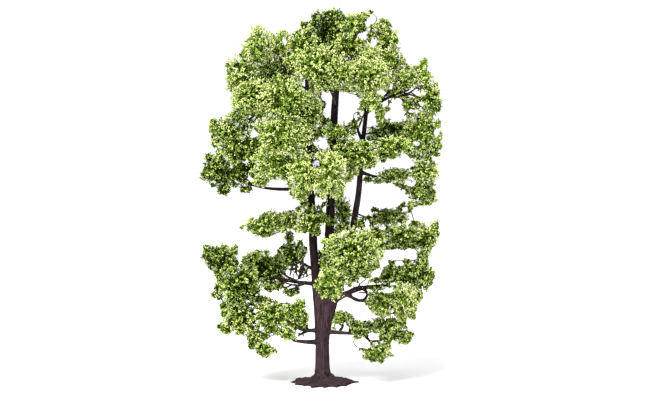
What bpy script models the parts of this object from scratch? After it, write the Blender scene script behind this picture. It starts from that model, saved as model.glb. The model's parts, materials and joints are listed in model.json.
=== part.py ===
"""A model acacia tree, 190 mm tall, of the kind made for railway layouts and dioramas.

A brown plastic armature (root disc, trunk, three stems and their boughs) carries clouds of
green foam flakes on fine twigs. Every limb is one tapering solid that ends 0.3 mm from the
limb it grows out of. Every cloud is one solid too: a stem, a branch to each of its pads, a
small heart in each pad, and flakes that stand out of the hearts as far as the pad reaches.

Sizes in the tables are in millimetres; the world is in metres, +Z up, with the origin under
the middle of the root disc. The front is -Y.
"""

import math
import random
from typing import NamedTuple

import bmesh
import bpy
import numpy as np
from mathutils import Matrix, Vector
from mathutils.bvhtree import BVHTree

MM = 0.001

# ---------------------------------------------------------------- driving sizes, in mm

GAP = 0.3                  # clearance between pieces that touch on the real tree
CLEARANCE = GAP * 1.6      # kept between unlike clouds, and off the limbs, as they are grown
STEM_CLEARANCE = GAP * 0.8  # kept by a cloud's own stem, which starts close to its limb
SEED = 31                  # of the first cloud's stem and hearts, one more for each after it
FLAKE_SEED = 1031          # of its flakes

DISC_RADIUS = 15.0         # mean radius of the ragged rim
DISC_RIM = 1.2             # thickness at the rim
DISC_SEAT = 1.8            # height of the middle, which carries the trunk
DISC_SEAT_RADIUS = 7.6
DISC_SIDES = 48

TRUNK_FOOT = DISC_SEAT + GAP
TRUNK_TOP = 44.0
TRUNK_SIDES = 16
ROOTS = 5                  # root swellings round the foot of the trunk
ROOT_SWELL = 0.25          # how far one stands out, against the half width, at full flute

LIMB_STEP = 9.0            # length of one straight run of a limb
LIMB_SIDES_RESOLUTION = 2  # eight sides

STEM_RADIUS = 0.7          # a cloud's own stem, three-sided
STEM_START = GAP * 1.15    # where it begins, off its limb
STEM_NUDGE = 0.08          # a stem that is blocked begins this much further out
STEM_NUDGES = 6            # and at most this many times
AXIS_STEP = 0.04           # share of a limb over which its direction is taken
BRANCH_RADIUS = 0.6
TWIG_RADIUS = 0.5
TWIG_END = 0.35            # how far up a flake its twig ends
OWN_REACH = 1.12           # furthest a cloud's bodies go past its pads, by pad sizes
HEART_FROM = 4.5           # pads smaller than this have no heart
HEART_SHARES = (0.78, 0.64, 0.51)  # size against the pad: the next is tried where one is blocked
HEART_ROUGHNESS = (0.88, 1.12)
HEART_DENT = 0.9           # step by which a corner is pressed in until it is in its own space
HEART_LEAST = 0.1          # and the share of the pad at which that stops
FLAKE_THICK = 1.7
FLAKE_LEAST = 2.4          # a flake's length is this and a share of the pad's reach
FLAKE_SHARE = 0.58
FLAKE_LONGEST = 11.0
FLAKE_WIDTHS = (0.9, 1.25)  # width against length
FLAKE_LEAN = (0.1, 0.75)   # how far it leans off the straight way out
FLAKE_PROUD = 0.04         # share of its length by which it may pass the pad's edge
FLAKE_ROUGHNESS = ((0.85, 1.0), (0.7, 1.15), (0.8, 1.2))  # along, across and through it
FLAKE_AREA = 44.0          # pad area for each flake, mm2
FLAKE_SPARE = 2.0          # flakes besides those that its area asks for
FLAKE_LEAST_COUNT = 3      # on the smallest pad
FLAKE_TRIES = (1.0, 0.92, 0.84, 0.76)
CROWN_MIDDLE = (2.0, 0.0, 100.0)  # flakes turn away from here
CROWN_LIFT = 0.45          # and less so up and down


class Ring(NamedTuple):
    """One level of the trunk: height, middle and half widths."""

    z: float
    x: float
    half_x: float
    half_y: float
    flute: float           # how far the root swellings stand out


TRUNK = [
    Ring(TRUNK_FOOT, 0.0, 6.3, 5.9, 0.95),
    Ring(3.0, -0.2, 5.2, 4.9, 0.80),
    Ring(4.6, -0.4, 4.1, 3.9, 0.40),
    Ring(7.5, -0.5, 3.5, 3.4, 0.18),
    Ring(13.0, -0.5, 3.3, 3.2, 0.12),
    Ring(20.0, -0.4, 3.2, 3.1, 0.10),
    Ring(26.0, -0.1, 3.6, 3.3, 0.10),
    Ring(32.0, 0.4, 4.2, 3.5, 0.15),
    Ring(38.0, 0.9, 5.2, 3.7, 0.20),
    Ring(TRUNK_TOP, 1.4, 6.5, 3.9, 0.20),
]


class Limb(NamedTuple):
    """A limb: where it leaves its parent, where its tip is, and how it bows and tapers."""

    parent: str
    at: float              # share of the parent's length
    tip: tuple
    bow: tuple             # how far the middle stands off the straight line
    base: float            # diameter at the parent
    end: float             # diameter at the tip
    foot: float = 0.0      # sideways shift of the start from the parent's axis
    sway: float = 0.0      # how far it leans right in its lower half and left in its upper


LIMBS = {
    "left_stem": Limb("trunk", 0.96, (-8.4, 0, 158), (-1.8, 0, 0), 4.3, 2.0, foot=-4.3),
    "centre_stem": Limb("trunk", 0.96, (7, 3, 169), (0.7, 2, 0), 4.2, 2.5, foot=0.2),
    "right_stem": Limb("trunk", 0.96, (23, 0, 153), (3.9, 4, 0), 3.6, 1.6, foot=4.3, sway=1.0),
    "low_left_bough": Limb("trunk", 0.47, (-15.5, -7, 23), (0, 0, -1.4), 2.3, 1.4),
    "low_left_upper_bough": Limb("trunk", 0.62, (-13, -4, 29), (0, 0, -1.2), 2.2, 1.2),
    "low_right_bough": Limb("trunk", 0.60, (18.5, -2, 24.8), (0, 0, 0), 2.2, 1.2),
    "mid_left_bough": Limb("left_stem", 0.07, (-37, 1, 56), (0, 0, -0.8), 2.5, 1.2),
    "mid_left_upper_bough": Limb("left_stem", 0.14, (-12, 6, 61.5), (0, 0, 0.6), 2.0, 1.2),
    "long_left_bough": Limb("left_stem", 0.49, (-38, 3, 101.1), (0, 0, -1.3), 1.9, 1.0),
    "up_left_bough": Limb("left_stem", 0.54, (-24, -12, 115), (0, 0, 0), 2.0, 1.2),
    "left_high_bough": Limb("left_stem", 0.74, (-34, 0, 147), (0, 0, -2.0), 2.0, 1.2),
    "upper_left_bough": Limb("left_stem", 0.84, (-22, -1, 165), (0, 0, -1.5), 1.8, 1.1),
    "front_bough": Limb("centre_stem", 0.12, (12, -24, 65), (0, 0, -1.0), 2.2, 1.3),
    "right_bough": Limb("right_stem", 0.045, (33, 0, 49.6), (0, 0, 0.5), 2.4, 1.2),
    "right_lower_bough": Limb("right_bough", 0.20, (30, -6, 44), (0, 0, -2.8), 1.6, 1.0),
    "band_bough": Limb("right_stem", 0.59, (27, 1.5, 105.2), (0, 0, -0.4), 1.6, 1.1),
    "top_right_bough": Limb("right_stem", 0.86, (43, 0, 149), (0, 0, 1.5), 1.5, 1.0),
}


class Pad(NamedTuple):
    """One rounded patch of a cloud: its middle and its half sizes."""

    x: float
    y: float
    z: float
    half_x: float
    half_y: float
    half_z: float

    @property
    def middle(self):
        return Vector(self[:3])

    @property
    def half(self):
        return Vector(self[3:])


class Cloud(NamedTuple):
    """A mass of foliage: the limb that carries it, where on that limb, and its pads."""

    limb: str
    at: float              # 1 is the limb's tip
    pads: tuple


CLOUDS = {
    "crown_top": Cloud("centre_stem", 1.0, (
        Pad(3, 5, 179.6, 10, 11, 10.4), Pad(6, 0, 169.5, 7, 8, 6))),
    "crown_right": Cloud("centre_stem", 0.88, (
        Pad(13, -9, 171.5, 8.5, 9, 7), Pad(15, -7, 182.5, 8, 8, 5.5),
        Pad(21, -5, 186.2, 3.5, 4, 2.5))),
    "crown_left": Cloud("left_stem", 1.0, (
        Pad(-10.5, -4, 172, 8.5, 9, 9.5),)),
    "crown_back": Cloud("centre_stem", 0.80, (
        Pad(10, 19, 163, 10, 10, 10), Pad(-7, 21, 168, 10, 10, 10))),
    "upper_left": Cloud("upper_left_bough", 1.0, (
        Pad(-22, -2, 172.5, 6.5, 8, 7.5), Pad(-33.5, -5, 171, 8, 9, 10))),
    "upper_left_inner": Cloud("left_stem", 0.93, (
        Pad(-24, 8, 158.5, 14, 11, 8.5),)),
    "left_shoulder": Cloud("left_high_bough", 1.0, (
        Pad(-41.5, -3, 156.5, 9, 10, 9.5), Pad(-39, -5, 141, 8.5, 9, 8),
        Pad(-35, -17, 146.5, 10.5, 10, 9))),
    "left_centre": Cloud("left_stem", 0.80, (
        Pad(-19.5, -23, 144, 13.5, 12, 11.5), Pad(-8, -16, 138, 8.5, 9, 10.5))),
    "upper_left_back": Cloud("left_stem", 0.78, (
        Pad(-20, 26, 146, 12, 11, 11), Pad(-34, 20, 147, 9, 9, 10))),
    "canopy": Cloud("centre_stem", 0.78, (
        Pad(-3.5, -27, 161, 11.5, 11, 11), Pad(7, -24, 157.5, 9, 10, 9),
        Pad(-0.5, -22, 152, 7, 8, 4))),
    "canopy_right": Cloud("right_stem", 0.94, (
        Pad(22.5, -18, 156.5, 11, 10, 9.5), Pad(23.5, -17, 144.5, 5.5, 7, 6.5),
        Pad(23, -10, 166, 8, 8, 6.5), Pad(28, -13, 137.5, 3, 4, 4.5))),
    "left_edge": Cloud("left_stem", 0.66, (
        Pad(-41, -3, 120, 12, 11, 8.5), Pad(-49.5, 2, 128, 9, 10, 7.5))),
    "left_front": Cloud("up_left_bough", 1.0, (
        Pad(-20.5, -26, 127, 14.5, 12, 11), Pad(-23.5, -20, 112, 14.5, 10, 7.5),
        Pad(-31, -14, 103.5, 6, 6, 3))),
    "left_back": Cloud("left_stem", 0.58, (
        Pad(-28, 27, 124, 13, 12, 10), Pad(-42, 20, 115, 9, 10, 8))),
    "far_left_high": Cloud("long_left_bough", 1.0, (
        Pad(-44, 2, 106, 6.5, 8, 5), Pad(-54.5, 2, 108.5, 7.5, 10, 8.5),
        Pad(-50.5, 1, 99, 4, 5, 3.5), Pad(-39.5, 1, 99, 3.5, 4, 3))),
    "centre_front": Cloud("centre_stem", 0.46, (
        Pad(2, -32, 108, 9.5, 11, 12), Pad(-8.5, -28, 108.5, 9.5, 10, 10.5),
        Pad(-11.5, -20, 98, 5, 7, 4.5))),
    "centre_middle": Cloud("centre_stem", 0.66, (
        Pad(5.5, -13, 128.5, 6.5, 8, 4), Pad(12.5, -11, 116.5, 8.5, 9, 10),
        Pad(15, -3, 131.5, 2.5, 3, 3.5))),
    "centre_back": Cloud("centre_stem", 0.50, (
        Pad(-6, 30, 112, 13, 12, 11), Pad(9, 23, 118, 8, 10, 7))),
    "right_front": Cloud("right_stem", 0.66, (
        Pad(18.5, -16, 117, 9, 11, 7.5), Pad(35, -12, 121.5, 9.5, 10, 5))),
    "right_inner": Cloud("right_stem", 0.76, (
        Pad(34.5, 12, 127.5, 11.5, 11, 6),)),
    "right_edge": Cloud("right_stem", 0.73, (
        Pad(49.5, 0, 127, 9, 10, 12),)),
    "right_band": Cloud("band_bough", 1.0, (
        Pad(36, 0, 106, 9, 8, 4), Pad(50.5, -3, 108, 8, 9, 6.5), Pad(49, 3, 98, 7, 9, 6.5),
        Pad(41, 1, 100, 3.5, 4, 2.5))),
    "right_crown": Cloud("right_stem", 1.0, (
        Pad(34, 2, 164, 7, 9, 7.5), Pad(31.5, 3, 175.5, 6.5, 9, 10))),
    "right_shoulder": Cloud("top_right_bough", 1.0, (
        Pad(51, 3, 155, 5, 7, 7.5), Pad(41.5, 1, 155, 6.5, 8, 6), Pad(51, 3, 162, 2.5, 4, 4),
        Pad(37, 4, 148.5, 6, 7, 4))),
    "right_tip": Cloud("top_right_bough", 0.84, (
        Pad(54, -1, 144, 5.5, 8, 9), Pad(44.5, 0, 142, 4, 6, 3.5))),
    "right_back": Cloud("right_stem", 0.84, (
        Pad(22, 23, 154, 9, 10, 8.5), Pad(41, 22, 127, 9, 10, 8))),
    "stem_front": Cloud("left_stem", 0.38, (
        Pad(-6.5, -14, 84, 7.5, 8, 8),)),
    "mid_left": Cloud("left_stem", 0.34, (
        Pad(-17.5, -2, 83.5, 6, 7, 5), Pad(-30, -5, 81.5, 9, 10, 7))),
    "mid_back": Cloud("left_stem", 0.30, (
        Pad(-23, 26, 80.5, 10, 11, 5), Pad(-1, 34, 104, 10, 10, 8))),
    "arm": Cloud("mid_left_upper_bough", 1.0, (
        Pad(-15.5, 9, 64.5, 7, 9, 7.5), Pad(-30, 14, 57, 13, 11, 8.5), Pad(-36, 12, 62.5, 4, 7, 4),
        Pad(-17.5, 6, 73.5, 2.5, 4, 4))),
    "far_left": Cloud("mid_left_bough", 1.0, (
        Pad(-42.5, -9, 50.5, 11.5, 12, 10), Pad(-52.5, 1, 64, 8.5, 11, 7.5),
        Pad(-59.5, 1, 66.5, 4, 7, 4.5))),
    "low_left": Cloud("low_left_bough", 1.0, (
        Pad(-26.5, -12, 35, 9.5, 11, 8), Pad(-42, -6, 34.5, 10, 12, 9.5),
        Pad(-33.5, -8, 23.5, 4.5, 6, 5.5), Pad(-30.5, -8, 18, 5, 5, 4),
        Pad(-30.5, 12, 34, 9.5, 9, 6.5))),
    "low_left_inner": Cloud("low_left_upper_bough", 1.0, (
        Pad(-13.5, -11, 38, 5.5, 7, 7), Pad(-18.5, -17, 27.5, 4.5, 6, 4))),
    "front_high": Cloud("front_bough", 1.0, (
        Pad(15.5, -34, 70.5, 13.5, 12, 10.5), Pad(14, -28, 61.5, 11, 9, 7.5),
        Pad(2.5, -26, 72, 5, 7, 5))),
    "front_low": Cloud("front_bough", 0.66, (
        Pad(3.5, -37, 54, 8.5, 11, 7.5),)),
    "right_middle": Cloud("right_stem", 0.32, (
        Pad(26.5, -5, 75.5, 8, 9, 5), Pad(40, -4, 75.5, 9.5, 10, 6.5), Pad(52, 0, 73.5, 6, 8, 8.5),
        Pad(20.5, -3, 81.5, 3.5, 5, 3))),
    "right_middle_back": Cloud("right_stem", 0.40, (
        Pad(34.5, 14, 83.5, 10.5, 10, 5), Pad(10, 19, 86, 5, 8, 7.5), Pad(40.5, 10, 89.5, 2.5, 4, 3))),
    "right_low": Cloud("right_bough", 1.0, (
        Pad(35.5, 4, 54, 7.5, 10, 7), Pad(47, 1, 55, 8.5, 10, 9.5), Pad(39, 22, 54, 8.5, 10, 6))),
    "right_low_front": Cloud("right_lower_bough", 1.0, (
        Pad(29.5, -12, 43, 8.5, 10, 7), Pad(40, -12, 43.5, 8, 10, 9))),
    "low_right": Cloud("low_right_bough", 1.0, (
        Pad(19, -2, 28.5, 7, 8, 4.5), Pad(33, -3, 29, 8.5, 10, 5.5), Pad(27, -9, 17, 7.5, 7, 5),
        Pad(31.5, 14, 27.5, 8, 8, 5), Pad(41, -3, 24, 5, 7, 4), Pad(10, 4, 32.5, 4.5, 5, 3))),
    "low_back": Cloud("left_stem", 0.16, (
        Pad(6.5, 32, 59, 9.5, 12, 8.5), Pad(-27, 31, 57, 9, 10, 7))),
}


# ---------------------------------------------------------------- materials

def plain_material(name, colour, roughness):
    """A plain finish of one colour."""
    material = bpy.data.materials.new(name)
    material.use_nodes = True
    shader = material.node_tree.nodes["Principled BSDF"]
    shader.inputs["Base Color"].default_value = (*colour, 1.0)
    shader.inputs["Roughness"].default_value = roughness
    shader.inputs["Metallic"].default_value = 0.0
    material.diffuse_color = (*colour, 1.0)
    return material


# ---------------------------------------------------------------- meshes and Booleans

def new_object(name, mesh, collection, material=None):
    if material:
        mesh.materials.append(material)
    made = bpy.data.objects.new(name, mesh)
    collection.objects.link(made)
    return made


def object_from(bm, name, collection, material=None):
    """An object from a bmesh, which is used up. The bmesh is in mm."""
    bmesh.ops.scale(bm, vec=(MM, MM, MM), verts=bm.verts)
    bmesh.ops.recalc_face_normals(bm, faces=bm.faces)
    mesh = bpy.data.meshes.new(name)
    bm.to_mesh(mesh)
    bm.free()
    return new_object(name, mesh, collection, material)


def apply_modifiers(made):
    """The object's evaluated mesh takes the place of its mesh and modifiers."""
    graph = bpy.context.evaluated_depsgraph_get()
    mesh = bpy.data.meshes.new_from_object(made.evaluated_get(graph))
    made.modifiers.clear()
    made.data = mesh


def remove(objects):
    for gone in list(objects):
        bpy.data.objects.remove(gone)


def cut(made, cutter):
    """Cut one object by another that is then removed."""
    boolean = made.modifiers.new("saddle", "BOOLEAN")
    boolean.operation = "DIFFERENCE"
    boolean.object = cutter
    bpy.context.view_layer.update()
    apply_modifiers(made)
    remove([cutter])


def keep_one_body(mesh):
    """Drop every shell of a mesh but the largest: a sealed hollow is filled, a scrap goes."""
    bm = bmesh.new()
    bm.from_mesh(mesh)
    bmesh.ops.triangulate(bm, faces=bm.faces)
    unseen = set(bm.faces)
    shells = []
    while unseen:
        front = [unseen.pop()]
        shell = []
        while front:
            face = front.pop()
            shell.append(face)
            for edge in face.edges:
                for other in edge.link_faces:
                    if other in unseen:
                        unseen.discard(other)
                        front.append(other)
        shells.append(shell)
    shells.sort(key=len)
    for shell in shells[:-1]:
        bmesh.ops.delete(bm, geom=shell, context="FACES")
    bm.to_mesh(mesh)
    bm.free()


def union(name, bodies, collection, material):
    """Join many small closed bodies into one object with a single Boolean on a collection."""
    pieces = bpy.data.collections.new(name + "_pieces")
    bpy.context.scene.collection.children.link(pieces)
    first = object_from(bodies[0], name, collection, material)
    for number, body in enumerate(bodies[1:]):
        object_from(body, f"{name}_piece_{number}", pieces)
    boolean = first.modifiers.new("join", "BOOLEAN")
    boolean.operation = "UNION"
    boolean.operand_type = "COLLECTION"
    boolean.collection = pieces
    boolean.solver = "MANIFOLD"    # EXACT is slow on dozens of small crossing bodies
    bpy.context.view_layer.update()
    apply_modifiers(first)
    remove(pieces.objects)
    bpy.data.collections.remove(pieces)
    keep_one_body(first.data)
    return first


# ---------------------------------------------------------------- root disc and trunk

def disc_rim(angle):
    """The ragged rim's radius: uneven points, as root ends cut off by the mould."""
    return DISC_RADIUS * (1 + 0.040 * math.cos(7 * angle + 0.4) + 0.035 * math.cos(11 * angle + 2.0)
                          + 0.025 * math.cos(17 * angle + 1.1))


def root_ridge(angle):
    """How high the roots on top of the disc stand at an angle, from -1 to 1."""
    return 0.6 * math.cos(7 * angle + 0.4) + 0.4 * math.cos(11 * angle + 2.0)


def loft(rings):
    """A closed body through rings of points, each with as many points as the next."""
    bm = bmesh.new()
    levels = [[bm.verts.new(point) for point in ring] for ring in rings]
    for below, above in zip(levels, levels[1:]):
        for k in range(len(below)):
            after = (k + 1) % len(below)
            bm.faces.new((below[k], below[after], above[after], above[k]))
    bm.faces.new(list(reversed(levels[0])))
    bm.faces.new(levels[-1])
    return bm


def make_disc(collection, material):
    """The root disc: flat below, with roots that run out from the trunk to the rim."""
    angles = [2 * math.pi * k / DISC_SIDES for k in range(DISC_SIDES)]

    def ring(share, height, ridge):
        points = []
        for angle in angles:
            radius = DISC_SEAT_RADIUS + share * (disc_rim(angle) - DISC_SEAT_RADIUS)
            height_here = height + ridge * root_ridge(angle)
            points.append((radius * math.cos(angle), radius * math.sin(angle), height_here))
        return points

    rings = [ring(1.0, 0.0, 0.0), ring(1.0, DISC_RIM, 0.2), ring(0.5, DISC_RIM + 0.35, 0.3),
             ring(0.0, DISC_SEAT, 0.0)]
    return object_from(loft(rings), "root_disc", collection, material)


def trunk_body(extra=0.0):
    """The trunk's loft, swollen by extra on its sides and top."""
    rings = []
    for level in TRUNK:
        points = []
        for k in range(TRUNK_SIDES):
            angle = 2 * math.pi * k / TRUNK_SIDES
            swell = 1 + level.flute * ROOT_SWELL * math.cos(ROOTS * angle + 0.5)
            points.append((level.x + (level.half_x * swell + extra) * math.cos(angle),
                           (level.half_y * swell + extra) * math.sin(angle), level.z))
        rings.append(points)
    rings[-1] = [(x, y, z + extra) for x, y, z in rings[-1]]
    return loft(rings)


def trunk_axis(share):
    """Middle of the trunk at a share of its height."""
    z = share * TRUNK_TOP
    heights = [level.z for level in TRUNK]
    return Vector((np.interp(z, heights, [level.x for level in TRUNK]), 0.0, z))


# ---------------------------------------------------------------- limbs

def limb_point(name, share):
    """A point on a limb's middle line: a parabola through its bow, with its sway."""
    if name == "trunk":
        return trunk_axis(share)
    limb = LIMBS[name]
    start = limb_point(limb.parent, limb.at) + Vector((limb.foot, 0, 0))
    straight = start.lerp(Vector(limb.tip), share)
    lean = Vector((limb.sway * math.sin(2 * math.pi * share), 0, 0))
    return straight + lean + 4 * share * (1 - share) * Vector(limb.bow)


def limb_radius(name, share):
    if name == "trunk":
        heights = [level.z for level in TRUNK]
        return float(np.interp(share * TRUNK_TOP, heights, [level.half_x for level in TRUNK]))
    limb = LIMBS[name]
    return (limb.end + (limb.base - limb.end) * (1 - share ** 1.5)) / 2


def limb_tube(name, collection, extra=0.0):
    """A limb as a tapering eight-sided tube with closed ends, swollen by extra."""
    length = (limb_point(name, 1.0) - limb_point(name, 0.0)).length
    count = max(4, round(length / LIMB_STEP) + 1)
    curve = bpy.data.curves.new(name, "CURVE")
    curve.dimensions = "3D"
    curve.bevel_depth = MM
    curve.bevel_resolution = LIMB_SIDES_RESOLUTION
    curve.use_fill_caps = True
    spline = curve.splines.new("POLY")
    spline.points.add(count - 1)
    for k, point in enumerate(spline.points):
        share = k / (count - 1)
        point.co = (*(limb_point(name, share) * MM), 1.0)
        point.radius = limb_radius(name, share) + extra
    tube = bpy.data.objects.new(name, curve)
    collection.objects.link(tube)
    bpy.context.view_layer.update()
    graph = bpy.context.evaluated_depsgraph_get()
    mesh = bpy.data.meshes.new_from_object(tube.evaluated_get(graph))
    matrix = tube.matrix_world.copy()
    bpy.data.objects.remove(tube)
    bm = bmesh.new()
    bm.from_mesh(mesh)
    bmesh.ops.remove_doubles(bm, verts=bm.verts, dist=0.00001)
    bmesh.ops.recalc_face_normals(bm, faces=bm.faces)
    bm.to_mesh(mesh)
    bm.free()
    made = bpy.data.objects.new(name, mesh)
    made.matrix_world = matrix
    collection.objects.link(made)
    return made


def make_limbs(collection, cutters, material):
    """Each limb starts in a saddle round its parent, and clears the trunk by the same gap."""
    for name, shape in LIMBS.items():
        limb = limb_tube(name, collection)
        limb.name = name
        limb.data.materials.clear()
        limb.data.materials.append(material)
        cut(limb, object_from(trunk_body(GAP), name + "_trunk_saddle", cutters))
        if shape.parent != "trunk":
            cut(limb, limb_tube(shape.parent, cutters, GAP))
        keep_one_body(limb.data)


# ---------------------------------------------------------------- where a cloud may grow

PAD_OWNER = [name for name, cloud in CLOUDS.items() for _ in cloud.pads]
PAD_MIDDLES = np.array([pad[:3] for cloud in CLOUDS.values() for pad in cloud.pads])
PAD_HALVES = np.array([pad.half for cloud in CLOUDS.values() for pad in cloud.pads])


def in_own_space(point, owner):
    """Whether a point is nearer, by pad sizes, to its own cloud's pads than to any other's."""
    reach = np.linalg.norm((np.array(point) - PAD_MIDDLES) / PAD_HALVES, axis=1)
    own = min(r for r, name in zip(reach, PAD_OWNER) if name == owner)
    other = min(r for r, name in zip(reach, PAD_OWNER) if name != owner)
    return own < other and own < OWN_REACH


class Taken(NamedTuple):
    """A body that stands already: whose it is, its box and its faces."""

    owner: str
    low: Vector
    high: Vector
    tree: BVHTree


def corners(bm):
    low = Vector(min(v.co[i] for v in bm.verts) for i in range(3))
    high = Vector(max(v.co[i] for v in bm.verts) for i in range(3))
    return low, high


def taken_by(owner, bm):
    low, high = corners(bm)
    return Taken(owner, low, high, BVHTree.FromBMesh(bm))


def taken_by_object(made):
    bm = bmesh.new()
    bm.from_mesh(made.data)
    bmesh.ops.scale(bm, vec=(1 / MM,) * 3, verts=bm.verts)
    record = taken_by(made.name, bm)
    bm.free()
    return record


def is_clear(bm, owner, taken, gap=CLEARANCE):
    """Whether a body, swollen by the gap, touches nothing of another owner's."""
    swollen = bm.copy()
    swollen.normal_update()
    moves = [v.normal * gap for v in swollen.verts]
    for vert, move in zip(swollen.verts, moves):
        vert.co += move
    low, high = corners(swollen)
    tree = BVHTree.FromBMesh(swollen)
    swollen.free()
    for other in taken:
        if other.owner == owner:
            continue
        apart = any(low[i] > other.high[i] or high[i] < other.low[i] for i in range(3))
        if not apart and tree.overlap(other.tree):
            return False
    return True


# ---------------------------------------------------------------- bodies of a cloud

def twig_body(start, end, radius_start, radius_end):
    """A three-sided tapering twig from one point to another."""
    bm = bmesh.new()
    along = end - start
    turn = along.to_track_quat("Z", "Y").to_matrix().to_4x4()
    place = Matrix.Translation((start + end) / 2) @ turn
    bmesh.ops.create_cone(bm, cap_ends=True, segments=3, radius1=radius_start,
                          radius2=radius_end, depth=along.length, matrix=place)
    bmesh.ops.recalc_face_normals(bm, faces=bm.faces)
    return bm


def flake_body(root, along, flat, length, width, rng):
    """An eight-faced flake: an uneven four-cornered outline with a ridge on each side."""
    bm = bmesh.new()
    bmesh.ops.create_uvsphere(bm, u_segments=4, v_segments=2, radius=1.0)
    across = along.cross(flat).normalized()
    normal = across.cross(along).normalized()
    axes = Matrix((along * length / 2, across * width / 2, normal * FLAKE_THICK / 2)).transposed()
    middle = root + along * length / 2
    for vert in bm.verts:
        wobble = Vector(rng.uniform(*span) for span in FLAKE_ROUGHNESS)
        vert.co = axes @ (vert.co * wobble) + middle
    bmesh.ops.recalc_face_normals(bm, faces=bm.faces)
    return bm


def heart_body(pad, owner, taken, rng):
    """The small dense middle of a pad, kept inside the cloud's own space and off the limbs."""
    for share in HEART_SHARES:
        bm = bmesh.new()
        bmesh.ops.create_icosphere(bm, subdivisions=1, radius=1.0)
        for vert in bm.verts:
            reach = share * rng.uniform(*HEART_ROUGHNESS)
            point = pad.middle + reach * vert.co * pad.half
            while not in_own_space(point, owner) and reach > HEART_LEAST:
                reach *= HEART_DENT
                point = pad.middle + reach * vert.co * pad.half
            vert.co = point
        bmesh.ops.recalc_face_normals(bm, faces=bm.faces)
        if is_clear(bm, owner, taken):
            return bm
        bm.free()
    return None


def spread_directions(count, first, rng):
    """Directions spread evenly over a sphere, the first of them given."""
    turn = Vector((0, 0, 1)).rotation_difference(first).to_matrix()
    spin = rng.uniform(0, 2 * math.pi)
    directions = []
    for k in range(count):
        z = 1 - 2 * k / max(1, count - 0.5)
        ring = math.sqrt(max(0.0, 1 - z * z))
        angle = spin + k * math.pi * (3 - math.sqrt(5))
        directions.append(turn @ Vector((ring * math.cos(angle), ring * math.sin(angle), z)))
    return directions


def outward(pad):
    """The way out of the crown at a pad, more level than upright."""
    way = pad.middle - Vector(CROWN_MIDDLE)
    way.z *= CROWN_LIFT
    return way.normalized()


def tangent_at(direction, rng):
    helper = Vector((rng.uniform(-1, 1), rng.uniform(-1, 1), rng.uniform(-1, 1)))
    return direction.cross(helper).normalized()


def stem_start(cloud, goal):
    """Where a cloud's stem begins, 0.3 mm off its limb, at the tip or on the side."""
    point = limb_point(cloud.limb, cloud.at)
    axis = (point - limb_point(cloud.limb, cloud.at - AXIS_STEP)).normalized()
    way = (goal - point).normalized()
    side = (way - way.dot(axis) * axis).normalized()
    if cloud.at == 1.0:
        return point + axis * (STEM_START + STEM_RADIUS * abs(way.dot(side)))
    tilt = STEM_RADIUS * abs(way.dot(axis))
    return point + side * (limb_radius(cloud.limb, cloud.at) + STEM_START + tilt)


def stem_bodies(name, cloud, taken):
    """The cloud's stem to its first pad and a branch from there to each of the others."""
    hearts = [pad.middle for pad in cloud.pads]
    start = stem_start(cloud, hearts[0])
    lift = (hearts[0] - start).normalized()
    for nudge in range(STEM_NUDGES):
        stem = twig_body(start + lift * STEM_NUDGE * nudge, hearts[0], STEM_RADIUS, BRANCH_RADIUS)
        if is_clear(stem, name, taken, STEM_CLEARANCE):
            break
    else:
        raise ValueError(f"the stem of {name} is blocked")
    bodies = [stem]
    joined = [hearts[0]]
    for heart in hearts[1:]:
        nearest = min(joined, key=lambda point: (point - heart).length)
        branch = twig_body(nearest, heart, BRANCH_RADIUS, TWIG_RADIUS)
        if not is_clear(branch, name, taken):
            raise ValueError(f"a branch of {name} is blocked")
        bodies.append(branch)
        joined.append(heart)
    return bodies


def grown_flake(pad, name, way, size, heart, taken, rng):
    """One flake that reaches the pad's edge, with the twig it needs, or nothing if it won't fit."""
    edge = pad.middle + way * pad.half
    reach = (edge - pad.middle).length
    radial = (edge - pad.middle).normalized()
    along = (radial + tangent_at(radial, rng) * rng.uniform(*FLAKE_LEAN)).normalized()
    length = size * min(FLAKE_LONGEST, FLAKE_SHARE * reach + FLAKE_LEAST)
    width = length * rng.uniform(*FLAKE_WIDTHS)
    root = edge - along * length * (1 - FLAKE_PROUD)
    bodies = [flake_body(root, along, tangent_at(along, rng), length, width, rng)]
    if not all(in_own_space(vert.co, name) for vert in bodies[0].verts):
        return []
    if heart is None:
        end = root + along * length * TWIG_END
        bodies.append(twig_body(pad.middle, end, BRANCH_RADIUS, TWIG_RADIUS))
    if not all(is_clear(body, name, taken) for body in bodies):
        return []
    return bodies


def flakes_of(pad, name, heart, taken, rng):
    """The flakes of one pad: a place that refuses a flake is offered turned and smaller ones."""
    area = (pad.half_x * pad.half_y + pad.half_y * pad.half_z + pad.half_z * pad.half_x) / 3
    count = max(FLAKE_LEAST_COUNT, round(FLAKE_SPARE + area / FLAKE_AREA))
    grown = []
    for way in spread_directions(count, outward(pad), rng):
        for size in FLAKE_TRIES:
            bodies = grown_flake(pad, name, way, size, heart, taken, rng)
            if bodies:
                grown.extend(bodies)
                break
    return grown


def make_clouds(collection, taken, material):
    """Grow every cloud: first all stems, then all hearts, then the flakes, cloud by cloud."""
    bodies = {}
    for name, cloud in CLOUDS.items():
        bodies[name] = stem_bodies(name, cloud, taken)
        taken.extend(taken_by(name, body) for body in bodies[name])
    hearts = {}
    for order, (name, cloud) in enumerate(CLOUDS.items()):
        rng = random.Random(SEED + order)
        for pad in cloud.pads:
            heart = None
            if min(pad.half) > HEART_FROM:
                heart = heart_body(pad, name, taken, rng)
            hearts[pad] = heart
            if heart:
                bodies[name].append(heart)
                taken.append(taken_by(name, heart))
    for order, (name, cloud) in enumerate(CLOUDS.items()):
        rng = random.Random(FLAKE_SEED + order)
        for pad in cloud.pads:
            grown = flakes_of(pad, name, hearts[pad], taken, rng)
            bodies[name].extend(grown)
            taken.extend(taken_by(name, body) for body in grown)
    for name in CLOUDS:
        union(name, bodies[name], collection, material)


# ---------------------------------------------------------------- the whole tree

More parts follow.
